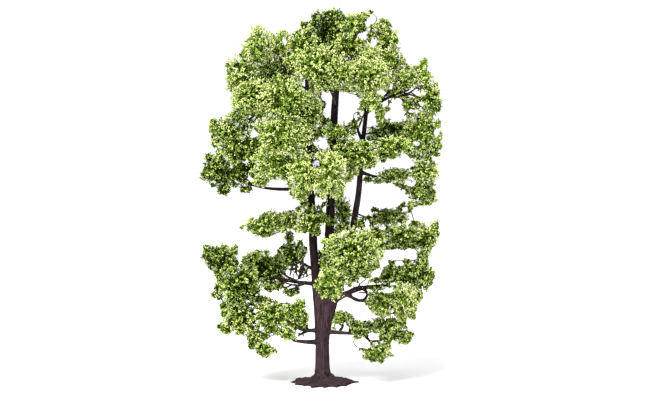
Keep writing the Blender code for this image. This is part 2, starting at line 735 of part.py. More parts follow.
def main():
    for old in list(bpy.data.objects):
        bpy.data.objects.remove(old)
    tree = bpy.data.collections.new("model_acacia_tree")
    cutters = bpy.data.collections.new("cutters")
    bpy.context.scene.collection.children.link(tree)
    bpy.context.scene.collection.children.link(cutters)

    bark = plain_material("moulded_brown_plastic", (0.065, 0.038, 0.045), 0.5)
    foliage = plain_material("green_foam_flake", (0.21, 0.28, 0.07), 0.9)

    disc = make_disc(tree, bark)
    trunk = object_from(trunk_body(), "trunk", tree, bark)
    make_limbs(tree, cutters, bark)
    taken = [taken_by_object(limb) for limb in tree.objects]
    make_clouds(tree, taken, foliage)

    for made in (disc, trunk, *(bpy.data.objects[name] for name in LIMBS)):
        made.data.shade_smooth()
        made.data.set_sharp_from_angle(angle=math.radians(40))


main()
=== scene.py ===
"""A model acacia tree with its looks: a moulded trunk and limbs with bark relief, a ragged root
disc, fine plastic twigs, and foam flakes stuck to the twigs.

The tables of the trunk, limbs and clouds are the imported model's own, with corrections of at most
8 mm, so every piece grows where its solid is. Sizes in the tables are in millimetres; the world is
in metres, +Z up, and the front is -Y.
"""

import json
import math
from typing import NamedTuple

import bpy
import numpy as np
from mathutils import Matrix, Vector, noise

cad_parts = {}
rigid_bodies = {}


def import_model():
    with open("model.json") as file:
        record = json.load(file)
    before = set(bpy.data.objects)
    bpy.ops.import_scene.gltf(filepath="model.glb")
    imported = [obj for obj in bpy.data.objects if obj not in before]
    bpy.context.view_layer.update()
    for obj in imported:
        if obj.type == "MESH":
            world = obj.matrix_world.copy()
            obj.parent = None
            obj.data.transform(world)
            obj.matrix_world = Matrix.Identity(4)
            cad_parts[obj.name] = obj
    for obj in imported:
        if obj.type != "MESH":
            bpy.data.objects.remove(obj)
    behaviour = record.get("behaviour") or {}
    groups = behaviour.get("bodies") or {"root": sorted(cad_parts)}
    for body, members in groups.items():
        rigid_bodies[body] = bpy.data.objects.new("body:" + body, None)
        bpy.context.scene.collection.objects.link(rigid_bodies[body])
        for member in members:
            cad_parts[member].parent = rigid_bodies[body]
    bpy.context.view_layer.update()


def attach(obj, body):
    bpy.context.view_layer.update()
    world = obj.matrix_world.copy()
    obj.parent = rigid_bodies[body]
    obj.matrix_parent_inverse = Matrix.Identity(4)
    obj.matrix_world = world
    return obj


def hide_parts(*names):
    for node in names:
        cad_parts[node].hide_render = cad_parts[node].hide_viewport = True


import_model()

MM = 0.001

# ---------------------------------------------------------------- driving sizes, in mm

SEED = 31

DISC_RADIUS = 15.0
DISC_RIM = 1.2              # thickness at the rim
DISC_SEAT = 1.8             # height of the middle, which carries the trunk
DISC_SEAT_RADIUS = 7.6
DISC_HUB_RADIUS = 5.5       # the disc rises towards its middle from here
DISC_HUB_HEIGHTS = (2.6, 2.2)   # in the middle, and at that radius
DISC_DEPTHS = (1.20, 0.88)  # the disc reaches further out in front than behind
DISC_SPOKES = 288           # points round the disc
DISC_STEPS = 44             # points from the middle to the rim
DISC_WAVES = ((7, 0.4, 0.040), (11, 2.0, 0.035), (17, 1.1, 0.025))  # round the rim: count, phase, size
DISC_ROOTS = (0.6, 0.4)     # strength of the roots that run out to the first two waves
DISC_RIBS = ((23, 0.9), (37, 4.0))  # finer ribs: count, and phase or twist towards the rim
DISC_WANDER = (0.10, 7, 3)  # how far roots wander, how often on their way and round the disc
DISC_FOOT = 0.985           # the underside is this much smaller
DISC_START = 0.06           # no points nearer to the middle than this share of the radius
DISC_THINNEST = 0.3
RELIEF_START = 5.0          # roots and ribs rise from this radius on, over this length,
RELIEF_RISE = 6.0
RELIEF_END = 1.04           # and fade out towards this share of the radius, over this one
RELIEF_FADE = 0.3
TORN_DETAIL = 9.0           # how finely the rim is torn
RIM_TRIM = 0.4              # what that takes off the rim
SPIKE_LENGTH = 1.6
ROOT_HEIGHT = 0.45
RIB_HEIGHT = 0.22
CLOD_HEIGHT = 0.55          # lumps on the disc
CLOD_SCALE = 0.75           # per mm
PIT_DEPTH = 0.30
PIT_SCALE = 2.2
DISC_PAINT = (0.42, 0.25, 0.3, 1.2)     # how light the disc is: everywhere, on roots, ribs and lumps
BARK_PAINT = (0.75, 0.25, 1.5)          # and the bark: on plates, grain and crumbs

TRUNK_TOP = 44.0
TRUNK_LEVELS = 60           # rings and sides of the trunk, before it is melted into the limbs
TRUNK_SIDES = 40
ROOTS = 5                   # root swellings round the foot of the trunk
ROOT_SWELL = 0.25

STEM_BASE = 3.0             # limbs thicker than this have no collar: the trunk spreads to meet them
COLLAR = 0.55               # how much thicker a limb is where it leaves its parent
COLLAR_LENGTH = 1.3         # against the limb's diameter
TAPER = 1.5                 # limbs keep their thickness at first, then thin
KINK = 0.25                 # how far a limb wavers from its curve
KINK_LENGTHS = (4.1, 5.7)   # of the two waves that it wavers by
KINK_FULL = 30.0            # limbs shorter than this waver less
LIMB_STEP = 2.0             # between the points along a limb, of which there are at least
LIMB_LEVELS = 6
LIMB_SIDES = 12
SKIN_VOXEL = 0.33           # grid on which the limbs are melted into one skin
SKIN_SWELL = 0.10           # makes up for what the smoothing takes off
SKIN_SMOOTHING = 4
FURROW_WIDTH = 0.75         # across one plate of the moulded bark
FURROW_LENGTH = 14.0        # along it
FURROW_DEPTH = 0.16
FURROW_EDGE = 3.2           # how steeply a plate rises from its furrow
FURROW_LEVEL = 0.7          # plates stand out above this share of their height, furrows go in
FULL_RELIEF = 3.2           # limbs of this radius and more have the bark's full depth
GRAIN_SCALE = 2.1           # how much finer the lines on the plates are
GRAIN_DEPTH = 0.06
CRUMB_TOP = 9.0             # the trunk's foot is crumbly up to here
CRUMB_FADE = 6.0            # and less and less over this height
CRUMB_SIZE = 1.5
CRUMB_DEPTH = 0.75

CROWN_PAINTED_SHADE = 0.8                  # painted shade: how much darker the bark is painted above the fork, where the crown shades it
CROWN_PAINTED_SHADE_RISE = 12.0            # height over which it darkens
PAINTED_LIGHT_SIDE = 13.0             # painted light: right of here the stem is paler for a stretch, between these heights
PAINTED_LIGHT_HEIGHTS = (80.0, 112.0)
PAINTED_LIGHT_SHARE = 0.35            # how much of the painted shade stays there

TWIG_STEM = 0.55            # radius of a cloud's own stem, at the limb
TWIG_BRANCH = 0.34          # where it branches to the pads
BRANCH_TIP = 0.221
TWIG_FINE = 0.17            # a pad's main twigs
TWIG_TIP = 0.117            # where they fan out in fingers
FINGER_TIP = 0.072
TWIG_SIDES = 3
STEM_BOWS = (0.05, 0.1, 0.1, 0.2, 0.2, 0.2, 0.3, 0.3, 0.3, 0.4, 0.4, 0.4)   # tries, to miss the gaps
STEM_STEPS = 9              # points along a cloud's stem
BARE_SIDES = 6
BARE_STEPS = 4              # points on each stretch of a bare twig
BARE_WAVER = 0.06
CLING_SHARE = 0.75          # share of a bare twig's points where a flake clings
CLING_LENGTHS = (0.8, 1.5)
CLING_TONES = (-0.9, 0.3)
CLING_STRAY = 0.25

HUB_AREA = 60.0             # pad surface for each main twig, mm2
HUB_REACH = (0.36, 0.56)    # where the main twigs end, against the pad's half size
HUB_WAVER = 0.3
FINGER_AREA = 7.2           # pad surface for each finger of flakes
FINGER_LIFT = 0.25          # how far fingers bow upwards
FINGER_BEND = 0.10          # how far they bow sideways, against their length
FINGER_COAT = 3.6           # length of a finger that carries flakes
FINGER_SHORTENING = 1.6     # the higher this is, the fewer of the fingers are short
FLAKES_ON_FINGER = 9
FLAKE_STRAY = 0.36          # how far flakes stand off their finger
FLAKE_SPLAY = 0.6           # how far they turn from its direction
SHELL_DEPTH = 0.30          # how much shorter the shortest fingers are, against the half size
DISORDER = 0.16             # how far twigs and fingers stray from an even spread
LUMP_SIZE = 4.6             # across the lumps and hollows in a pad's edge
LUMP_DEPTH = 0.28
LUMP_MEAN = 1.08
FURTHEST = 1.18             # no finger goes further, against the pad's half size
BURIED = 0.62               # nothing shows that is deeper than this in another pad
LIMB_CLEAR = 0.5            # no flake nearer to a limb's bark than this
NEAREST_BLOCK = 4000        # points compared with the limbs at a time

FLAKE_LENGTHS = (1.05, 1.80)
FLAKE_WIDTHS = (0.55, 0.92)  # width against length
FLAKE_THICK = 0.40          # thickness against length
FLAKE_THICKNESSES = (0.7, 1.3)  # how uneven that is
FLAKE_CORNERS = 3
FLAKE_TURN = 0.22           # how far a corner strays round the outline, against the even spacing
FLAKE_RADII = (0.72, 1.1)
FLAKE_WARP = 0.3            # how far a corner stands off flat, against the thickness
FLAKE_PEAK = 0.15           # how far the peaks stand off the middle, against the length

# Tones run from -1 for the darkest shade to 1 for the palest.
TWIG_TONE = 0.20            # spread of tone from one main twig, and one finger, to the next
TONE_MEAN = 0.16
FLAKE_TONE = 0.42           # spread of tone from flake to flake
PAINTED_LIGHT_ON_TOP = 0.15              # painted light: flakes on top are paler
PAINTED_SHADE_WITHIN = 0.45              # and painted shade: those on short fingers, deep in the pad, darker
PAINTED_LIGHT_AT_TIP = 0.55           # painted light: a finger pales towards its tip,
PAINTED_LIGHT_TURN = 0.6             # from this share of the way along its coat

# Flakes deep within each pad, given the darkest shades as painted shade.
SHADE_AREA = 3.6            # pad surface for each of the dark flakes within
SHADE_REACH = (0.25, 0.82)
SHADE_TONES = (-1.0, -0.5)
SHADE_FOLLOW = 0.8          # how far they follow their cloud's tone
SHADE_LENGTHS = (2.2, 3.4)

RAGGED = 0.9                # how uneven the rims of the gaps through the crown are
RAGGED_SIZE = 2.2
TUFT_DEPTH = 1.1            # a tuft's half size from front to back, against its larger other one

EYE = (-0.5, -1000.0, 150.0)  # where the tree is looked at from
EYE_TILT = 3.29             # degrees down
EYE_LENS = 110.0            # focal length
EYE_SENSOR = 36.0

PAPER_HALF = 6000.0
SOFTBOX_SIZE = 0.9          # m
SOFTBOX_POWER = 34.0        # W
SOFTBOX_PLACE = (-0.45, -0.85, 1.10)    # m
SOFTBOX_AIM = (0, 0, 0.1)
SURROUND = 1.06


class Ring(NamedTuple):
    """One level of the trunk: height, middle and half widths."""

    z: float
    x: float
    half_x: float
    half_y: float
    flute: float            # how far the root swellings stand out


TRUNK = [
    Ring(1.2, 0.0, 7.4, 7.0, 1.10),
    Ring(2.1, 0.0, 6.3, 5.9, 0.95),
    Ring(3.0, -0.2, 5.2, 4.9, 0.80),
    Ring(4.6, -0.4, 4.1, 3.9, 0.40),
    Ring(7.5, -0.6, 3.6, 3.4, 0.18),
    Ring(13.0, -0.6, 3.5, 3.2, 0.12),
    Ring(20.0, -0.7, 3.4, 3.1, 0.10),
    Ring(26.0, -0.6, 3.9, 3.3, 0.10),
    Ring(32.0, 0.0, 4.6, 3.5, 0.15),
    Ring(38.0, 0.6, 5.6, 3.7, 0.20),
    Ring(TRUNK_TOP, 1.2, 6.6, 3.9, 0.20),
    Ring(46.5, 1.5, 5.0, 2.4, 0.20),
]


class Limb(NamedTuple):
    """A limb: where it leaves its parent, where its tip is, and how it bows and tapers."""

    parent: str
    at: float               # share of the parent's length
    tip: tuple
    bow: tuple              # how far the middle stands off the straight line
    base: float             # diameter at the parent
    end: float              # diameter at the tip
    foot: float = 0.0       # sideways shift of the start from the parent's axis
    sway: float = 0.0       # how far it leans right in its lower half and left in its upper


LIMBS = {
    "left_stem": Limb("trunk", 0.96, (-8.4, 0, 158), (-0.9, 0, 0), 4.5, 2.0, foot=-4.1),
    "centre_stem": Limb("trunk", 0.96, (7, 3, 169), (0.3, 2, 0), 5.0, 2.9, foot=0.0),
    "right_stem": Limb("trunk", 0.96, (23, 0, 153), (3.6, 4, 0), 3.6, 1.7, foot=4.3, sway=1.0),
    "low_left_bough": Limb("trunk", 0.47, (-15.5, -7, 22.5), (0, 0, -0.5), 2.4, 1.4),
    "low_left_upper_bough": Limb("trunk", 0.62, (-13, -4, 29), (0, 0, -1.2), 2.2, 1.2),
    "low_right_bough": Limb("trunk", 0.60, (18.5, -2, 24.8), (0, 0, 0), 2.2, 1.2),
    "mid_left_bough": Limb("left_stem", 0.07, (-37, 9, 55), (0, 0, -0.4), 1.9, 1.1),
    "mid_left_upper_bough": Limb("left_stem", 0.13, (-12, 6, 61), (0, 0, 0.2), 1.6, 1.1),
    "long_left_bough": Limb("left_stem", 0.49, (-38, 3, 101.1), (0, 0, -1.3), 1.9, 1.0),
    "up_left_bough": Limb("left_stem", 0.54, (-24, -12, 115), (0, 0, 0), 2.0, 1.2),
    "left_high_bough": Limb("left_stem", 0.74, (-34, 0, 147), (0, 0, -2.0), 2.0, 1.2),
    "upper_left_bough": Limb("left_stem", 0.84, (-22, -1, 165), (0, 0, -1.5), 1.8, 1.1),
    "front_bough": Limb("centre_stem", 0.12, (12, -24, 65), (0, 0, -1.0), 2.2, 1.3),
    "right_bough": Limb("trunk", 0.97, (33, 0, 49.6), (0, 0, 1.9), 2.7, 1.3, foot=5),
    "right_lower_bough": Limb("right_bough", 0.20, (30, -6, 44), (0, 0, -2.8), 1.6, 1.0),
    "band_bough": Limb("right_stem", 0.59, (27, 1.5, 105.2), (0, 0, -0.4), 1.6, 1.1),
    "top_right_bough": Limb("right_stem", 0.86, (43, 0, 149), (0, 0, 1.5), 1.5, 1.0),
}


class Twig(NamedTuple):
    """A bare forked twig: its diameters at root and tip, and the points it bends through."""

    base: float
    end: float
    points: tuple


TWIGS = [Twig(base, end, points) for base, end, *points in (
    (1.81, 0.8, (-8.9, 0.5, 51.4), (-10.4, 0, 50.4), (-13, -0.5, 49.7), (-14, -1, 48.5), (-13.2, -1.5, 47),
        (-11.9, -2, 46.3)),
    (1.14, 0.71, (-13, -1, 49.7), (-16.5, -1.5, 50.3), (-19.1, -2, 50.9)),
    (0.89, 0.62, (-16, -1, 50.2), (-18.6, -1.5, 49), (-20.6, -2, 48.6)),
    (0.89, 0.62, (-14, -1, 48.5), (-16.5, -1, 48), (-18.1, -1, 46.9)),
    (1.47, 0.9, (-14, 0.5, 52), (-17.1, 1, 53.4), (-19.6, 1.5, 54.9), (-21.7, 2, 56.4)),
    (1.14, 0.71, (-17.6, 0.5, 52.2), (-20.6, -1, 51), (-23.6, -2, 50.1)),
    (1.14, 0.62, (-8.9, 1, 60.6), (-10.9, 0.5, 59.6), (-12, 0.5, 57.5), (-11.4, 0, 55)),
    (0.89, 0.62, (-10.9, 1, 59.5), (-9.4, 0, 58.1), (-8.9, -1, 55.6)),
    (1.14, 0.62, (-12, 2, 61.5), (-14, 2.5, 60.4), (-16.1, 3.5, 58.8), (-17.6, 4, 57.2)),
    (0.8, 0.52, (-14, 2, 60.5), (-13.5, 2, 58.4), (-14.5, 2, 55.9)),
    (0.98, 0.62, (-10.4, 1, 61.1), (-10.4, 1.5, 63.1), (-9.4, 2, 65.1)),
    (0.71, 0.52, (-12, 1, 57.5), (-13.5, 1, 56.7), (-15.5, 1, 56.5)),
    (0.71, 0.52, (-11.5, 1, 56.5), (-9.9, 0, 54)),
    (1.81, 0.9, (-7.4, -1, 26.6), (-9.9, -1.5, 28.6), (-11.9, -2.5, 30), (-13.7, -3, 31.3)),
    (1.47, 0.8, (-8.4, -1, 27.5), (-8.6, -2, 30.2), (-9.4, -3, 32.9)),
    (1.65, 0.8, (-7.4, -1, 26.6), (-9.9, -2, 25.8), (-11.9, -3, 24.9), (-12.9, -4, 24.3)),
    (0.8, 0.62, (-10.9, -2, 25.3), (-9.9, -2, 23.8)),
    (1.14, 0.71, (-8.9, -1, 26.2), (-12, -2, 27.4), (-14, -3, 28.3)),
    (0.71, 0.52, (-11.4, -3, 25.2), (-13, -3, 25.7)),
    (1.7, 1.2, (12.5, 0, 46.6), (14, -0.5, 44.3), (16, -1, 42.6), (18.6, -1.5, 42), (20.6, -1.5, 42.7),
        (22.1, -2, 44.5), (21.9, -2.5, 46.8), (20.1, -3, 48.2)),
    (1.32, 0.78, (21.9, -3, 45.6), (24.6, -3, 45.1), (28.7, -3.5, 44.6), (32.8, -4, 45.7), (37.8, -4, 47)),
    (0.78, 0.51, (21.6, -2, 46), (19.1, -2, 46.3), (18.1, -2, 46)),
    (0.91, 0.51, (20.6, -2, 42.6), (23.1, -3, 41), (25.1, -4, 39.1)),
    (0.78, 0.44, (17.1, 0, 48.4), (19.1, -1.5, 51.1), (21.6, -3, 53.3)),
    (1.59, 0.64, (8.4, -1, 26.5), (9.9, -0.5, 29), (8.9, -0.5, 32), (6.9, 0, 35.1)),
    (1.04, 0.51, (9.4, -1, 30.1), (11.5, -1, 32.6), (13.5, -1, 35.2)),
    (1.18, 0.64, (13.5, -1, 26), (13.5, -1.5, 28.6), (15.5, -2, 31.2)),
    (0.91, 0.44, (9.9, -1, 29), (7.4, -0.5, 30.5), (4.9, 0, 32.2)),
    (0.64, 0.37, (8.4, 0, 33), (6.4, 0, 36.3)),
    (0.64, 0.37, (8.9, 0, 32), (10.5, -0.5, 34.6), (11, -1, 36.5)),
    (1.59, 0.91, (19.6, -2, 25.1), (22.1, -3, 23.1), (24.1, -4, 21.7), (27.2, -5, 21.9), (29.7, -6, 22.5)),
    (1.32, 0.64, (24.1, -4, 21.7), (24.5, -5.5, 19.3), (24.1, -6.5, 17), (24.6, -8, 15.1)),
    (0.78, 0.44, (24.1, -7, 17), (21, -8, 18.2), (18, -9, 18.6)),
    (0.78, 0.44, (24.1, -7, 16.5), (21.5, -8, 15.1), (20.5, -9, 13.7)),
    (0.78, 0.44, (24.3, -7, 16), (27.1, -7.5, 15.5), (30.1, -7.5, 17.1), (33.2, -8, 16.9)),
    (0.78, 0.44, (24.6, -8, 15.1), (27.1, -9, 13.7), (30.1, -10, 11.8)),
    (0.78, 0.51, (27.2, -5, 21.9), (28.7, -6.5, 20), (28.1, -8, 17.7)),
    (1.72, 0.91, (19.3, 2, 124.2), (18, 1, 127.3), (17, 0, 129.8), (14.7, -1, 130.6), (13.6, -2, 131.9)),
    (1.04, 0.57, (17, 0, 129.8), (16.5, -1.5, 132.7), (15.4, -3, 135)),
    (1.18, 0.57, (17.2, 0, 129.3), (18.5, -0.5, 131.9), (19.5, -0.5, 134.7), (20.5, -1, 137)),
    (0.78, 0.44, (14.7, -2, 130.6), (14.1, -3, 132.7)),
    (0.64, 0.44, (10.9, -2, 128.4), (10.4, -2.5, 130.9), (10.4, -3, 133.4)),
    (1.45, 0.91, (21.6, 1, 136.4), (22.8, 0, 138), (24.1, -1, 138.7)),
    (1.32, 0.64, (29.7, 2, 144.3), (32.2, 1.5, 147.1), (35.2, 0.5, 148.8), (37.7, 0, 150.6)),
    (1.18, 0.64, (31.2, 2, 144), (33.8, 2.5, 146), (36.8, 3, 146.8), (39.4, 3.5, 145.5), (41, 4, 143.5)),
    (1.32, 0.64, (37.8, 1, 145.5), (41.3, 0.5, 146.8), (44.3, 0.5, 148.1), (46.9, 0, 150.1)),
    (0.78, 0.44, (44.3, 0, 147.8), (46.4, 0, 146.6)),
    (0.91, 0.51, (46.9, 0, 150.1), (49.4, -0.5, 149.6), (52.4, -0.5, 151.1), (53.4, -1, 153.1)),
    (0.78, 0.51, (40.8, 1, 143.5), (43.4, 0.5, 140.5), (46.9, 0.5, 142), (50.9, 0, 140)),
    (1.32, 0.64, (-36.4, 3, 100.8), (-38.9, 2.5, 103.3), (-40.9, 2, 105.4), (-43.5, 1, 106.5),
        (-46.5, 0.5, 106.7), (-49, 0, 105.5)),
    (1.18, 0.64, (-36.9, 3, 101.3), (-40.5, 2, 102.3), (-43.5, 1.5, 103.9), (-47, 1, 104.4),
        (-50.5, 0, 102.9)),
    (1.18, 0.64, (-39.4, 2, 104.4), (-38.4, 2.5, 107.9), (-37.4, 3.5, 109.9), (-38.5, 4, 111.9)),
    (0.78, 0.51, (-40.9, 1, 105.4), (-39.9, 1, 101.9), (-38.4, 1, 99.8)),
    (0.78, 0.51, (-42.4, 1, 106), (-43.4, 0.5, 108.5), (-45.4, 0, 110.1)),
    (1.32, 0.64, (-31.3, 4, 138.9), (-33.8, 3, 137.2), (-36.8, 2, 134.9), (-39.8, 1, 133.9),
        (-42.3, 0, 134.4)),
    (0.91, 0.51, (-36.8, 2, 134.9), (-38.3, 1.5, 131.8), (-40.3, 1, 129.8)),
    (0.78, 0.51, (-37.8, 2, 134.4), (-40.9, 1.5, 135.4), (-42.9, 1, 136.9)),
    (1.4, 0.8, (-5.3, 0, 89.7), (-7.3, -2, 93.9), (-9.4, -4, 97.6)),
    (1.59, 0.91, (-5.8, 0, 90.7), (-4.8, -1.5, 94.4), (-3.3, -3, 97.5)),
    (0.91, 0.51, (3.3, -6, 113.8), (-0.8, -8, 111.4), (-3.8, -10, 110)),
    (2.6, 1.6, (7.4, 0, 43.8), (10.5, 0, 44.8), (13.5, -0.5, 46.6), (16.6, -1, 48.4), (20.1, -1, 49)),
    (1.7, 1.2, (-9.9, -1, 61.2), (-10.9, -0.5, 57.6), (-11.6, 0.5, 54.7), (-13, 1, 53.1)),
    (1.14, 0.8, (-13.5, 0, 61.7), (-14.2, 1, 57.5), (-13.5, 2, 54.6)),
    (1.14, 0.8, (-15.5, 1, 61.1), (-16.4, 2, 57.4), (-17.1, 3, 54.5)),
    (1.14, 0.8, (-7.9, -1, 59.2), (-8.6, 0, 56.6), (-8.4, 1, 53.9)),
    (1.14, 0.8, (-10.9, 0, 58.1), (-8.9, 0, 56.8), (-10.2, 0, 55)),
    (1.14, 0.8, (-14, 1, 57.5), (-12, 1, 56.2), (-12.5, 1, 54.4)),
)]


class Pad(NamedTuple):
    """One rounded patch of a cloud: its middle and its half sizes."""

    x: float
    y: float
    z: float
    half_x: float
    half_y: float
    half_z: float

    @property
    def middle(self):
        return np.array(self[:3], float)

    @property
    def half(self):
        return np.array(self[3:], float)

    @property
    def surface(self):
        """About the surface of the pad's ellipsoid."""
        a, b, c = (size ** 1.6 for size in self.half)
        return 4 * math.pi * ((a * b + b * c + c * a) / 3) ** (1 / 1.6)


class Cloud(NamedTuple):
    """A mass of foliage: the limb that carries it, where on that limb, and its pads."""

    limb: str
    at: float               # 1 is the limb's tip
    pads: tuple


# Each cloud's limb, its place there, and its pads: middle x, y, z and half sizes x, y, z.
CLOUDS = {name: Cloud(limb, at, tuple(Pad(*row) for row in pads)) for name, limb, at, *pads in (
    ("crown_top", "centre_stem", 1.0, (3, 5, 179.6, 10, 11, 10.4), (6, 0, 169.5, 7, 8, 6)),
    ("crown_right", "centre_stem", 0.88, (13, -9, 171.5, 8.5, 9, 7), (15, -7, 182.5, 8, 8, 5.5),
        (21, -5, 186.2, 3.5, 4, 2.5)),
    ("crown_left", "left_stem", 1.0, (-10.5, -4, 172, 8.5, 9, 9.5)),
    ("crown_back", "centre_stem", 0.8, (10, 19, 163, 10, 10, 10), (-7, 21, 168, 10, 10, 10)),
    ("upper_left", "upper_left_bough", 1.0, (-22, -2, 172.5, 6.5, 8, 7.5), (-33.5, -5, 171, 8, 9, 10)),
    ("upper_left_inner", "left_stem", 0.93, (-24, 8, 158.5, 14, 11, 8.5)),
    ("left_shoulder", "left_high_bough", 1.0, (-41.5, -3, 156.5, 9, 10, 9.5), (-39, -5, 141, 8.5, 9, 8),
        (-35, -17, 146.5, 10.5, 10, 9)),
    ("left_centre", "left_stem", 0.8, (-19.5, -23, 144, 13.5, 12, 11.5), (-8, -16, 138, 8.5, 9, 10.5)),
    ("upper_left_back", "left_stem", 0.78, (-20, 26, 146, 12, 11, 11), (-34, 20, 147, 9, 9, 10)),
    ("canopy", "centre_stem", 0.78, (-3.5, -27, 161, 11.5, 11, 11), (7, -24, 157.5, 9, 10, 9),
        (-0.5, -22, 152, 7, 8, 4)),
    ("canopy_right", "right_stem", 0.94, (22.5, -18, 156.5, 11, 10, 9.5), (23.5, -17, 144.5, 5.5, 7, 6.5),
        (23, -10, 166, 8, 8, 6.5), (28, -13, 137.5, 3, 4, 4.5)),
    ("left_edge", "left_stem", 0.66, (-41, -3, 120, 12, 11, 8.5), (-49.5, 2, 128, 9, 10, 7.5)),
    ("left_front", "up_left_bough", 1.0, (-20.5, -26, 127, 14.5, 12, 11), (-23.5, -20, 112, 14.5, 10, 7.5),
        (-31, -14, 103.5, 6, 6, 3)),
    ("left_back", "left_stem", 0.58, (-28, 27, 124, 13, 12, 10), (-42, 20, 115, 9, 10, 8)),
    ("far_left_high", "long_left_bough", 1.0, (-44, 2, 106, 6.5, 8, 5), (-54.5, 2, 108.5, 7.5, 10, 8.5),
        (-50.5, 1, 99, 4, 5, 3.5), (-39.5, 1, 99, 3.5, 4, 3)),
    ("centre_front", "centre_stem", 0.46, (2, -32, 108, 9.5, 11, 12), (-8.5, -28, 108.5, 9.5, 10, 10.5),
        (-11.5, -20, 98, 5, 7, 4.5)),
    ("centre_middle", "centre_stem", 0.66, (5.5, -13, 128.5, 6.5, 8, 4), (12.5, -11, 116.5, 8.5, 9, 10),
        (15, -3, 131.5, 2.5, 3, 3.5)),
    ("centre_back", "centre_stem", 0.5, (-6, 29.5, 112, 13, 11.5, 11), (9, 23, 118, 8, 10, 7)),
    ("right_front", "right_stem", 0.66, (18.5, -16, 117, 9, 11, 7.5), (35, -12, 121.5, 9.5, 10, 5)),
    ("right_inner", "right_stem", 0.76, (34.5, 12, 127.5, 11.5, 11, 6)),
    ("right_edge", "right_stem", 0.73, (49.5, 0, 127, 9, 10, 12)),
    ("right_band", "band_bough", 1.0, (36, 0, 106, 9, 8, 4), (50.5, -3, 108, 8, 9, 6.5),
        (49, 3, 98, 7, 9, 6.5), (41, 1, 100, 3.5, 4, 2.5)),
    ("right_crown", "right_stem", 1.0, (34, 2, 164, 7, 9, 7.5), (31.5, 3, 175.5, 6.5, 9, 10)),
    ("right_shoulder", "top_right_bough", 1.0, (51, 3, 155, 5, 7, 7.5), (41.5, 1, 155, 6.5, 8, 6),
        (51, 3, 162, 2.5, 4, 4), (37, 4, 148.5, 6, 7, 4)),
    ("right_tip", "top_right_bough", 0.84, (54, -1, 144, 5.5, 8, 9), (44.5, 0, 142, 4, 6, 3.5)),
    ("right_back", "right_stem", 0.84, (22, 23, 154, 9, 10, 8.5), (41, 22, 127, 9, 10, 8)),
    ("stem_front", "left_stem", 0.38, (-6.5, -14, 84, 7.5, 8, 8)),
    ("mid_left", "left_stem", 0.34, (-17.5, -2, 83.5, 6, 7, 5), (-30, -5, 81.5, 9, 10, 7)),
    ("mid_back", "left_stem", 0.3, (-23, 26, 80.5, 10, 11, 5), (-1, 32.5, 104, 10, 9.5, 8)),
    ("arm", "mid_left_upper_bough", 1.0, (-15.5, 9, 64.5, 7, 9, 7.5), (-30, 14, 57, 13, 11, 8.5),
        (-36, 12, 62.5, 4, 7, 4), (-17.5, 6, 73.5, 2.5, 4, 4)),
    ("far_left", "mid_left_bough", 1.0, (-42.5, -9, 50.5, 11.5, 12, 10), (-52.5, 1, 64, 8.5, 11, 7.5),
        (-59.5, 1, 66.5, 4, 7, 4.5)),
    ("low_left", "low_left_bough", 1.0, (-26.5, -12, 35, 9.5, 11, 8), (-42, -6, 34.5, 10, 12, 9.5),
        (-33.5, -8, 23.5, 4.5, 6, 5.5), (-30.5, -8, 18, 5, 5, 4), (-30.5, 12, 34, 9.5, 9, 6.5)),
    ("low_left_inner", "low_left_upper_bough", 1.0, (-13.5, -11, 38, 5.5, 7, 7),
        (-18.5, -17, 27.5, 4.5, 6, 4)),
    ("front_high", "front_bough", 1.0, (15.5, -34, 70.5, 13.5, 12, 10.5), (14, -28, 61.5, 11, 9, 7.5),
        (2.5, -26, 72, 5, 7, 5)),
    ("front_low", "front_bough", 0.66, (3.5, -37, 54, 8.5, 11, 7.5)),
    ("right_middle", "right_stem", 0.32, (26.5, -5, 75.5, 8, 9, 5), (40, -4, 75.5, 9.5, 10, 6.5),
        (52, 0, 73.5, 6, 8, 8.5), (20.5, -3, 81.5, 3.5, 5, 3)),
    ("right_middle_back", "right_stem", 0.4, (34.5, 14, 83.5, 10.5, 10, 5), (10, 19, 86, 5, 8, 7.5),
        (40.5, 10, 89.5, 2.5, 4, 3)),
    ("right_low", "right_bough", 1.0, (35.5, 4, 54, 7.5, 10, 7), (47, 1, 55, 8.5, 10, 9.5),
        (39, 22, 54, 8.5, 10, 6)),
    ("right_low_front", "right_lower_bough", 1.0, (29.5, -12, 43, 8.5, 10, 7), (40, -12, 43.5, 8, 10, 9)),
    ("low_right", "low_right_bough", 1.0, (19, -2, 28.5, 7, 8, 4.5), (33, -3, 29, 8.5, 10, 5.5),
        (27, -9, 17, 7.5, 7, 5), (31.5, 14, 27.5, 8, 8, 5), (41, -3, 24, 5, 7, 4),
        (10, 4, 32.5, 4.5, 5, 3)),
    ("low_back", "left_stem", 0.16, (6.5, 31, 59, 9.5, 11, 8.5), (-27, 31, 57, 9, 10, 7)),
)}

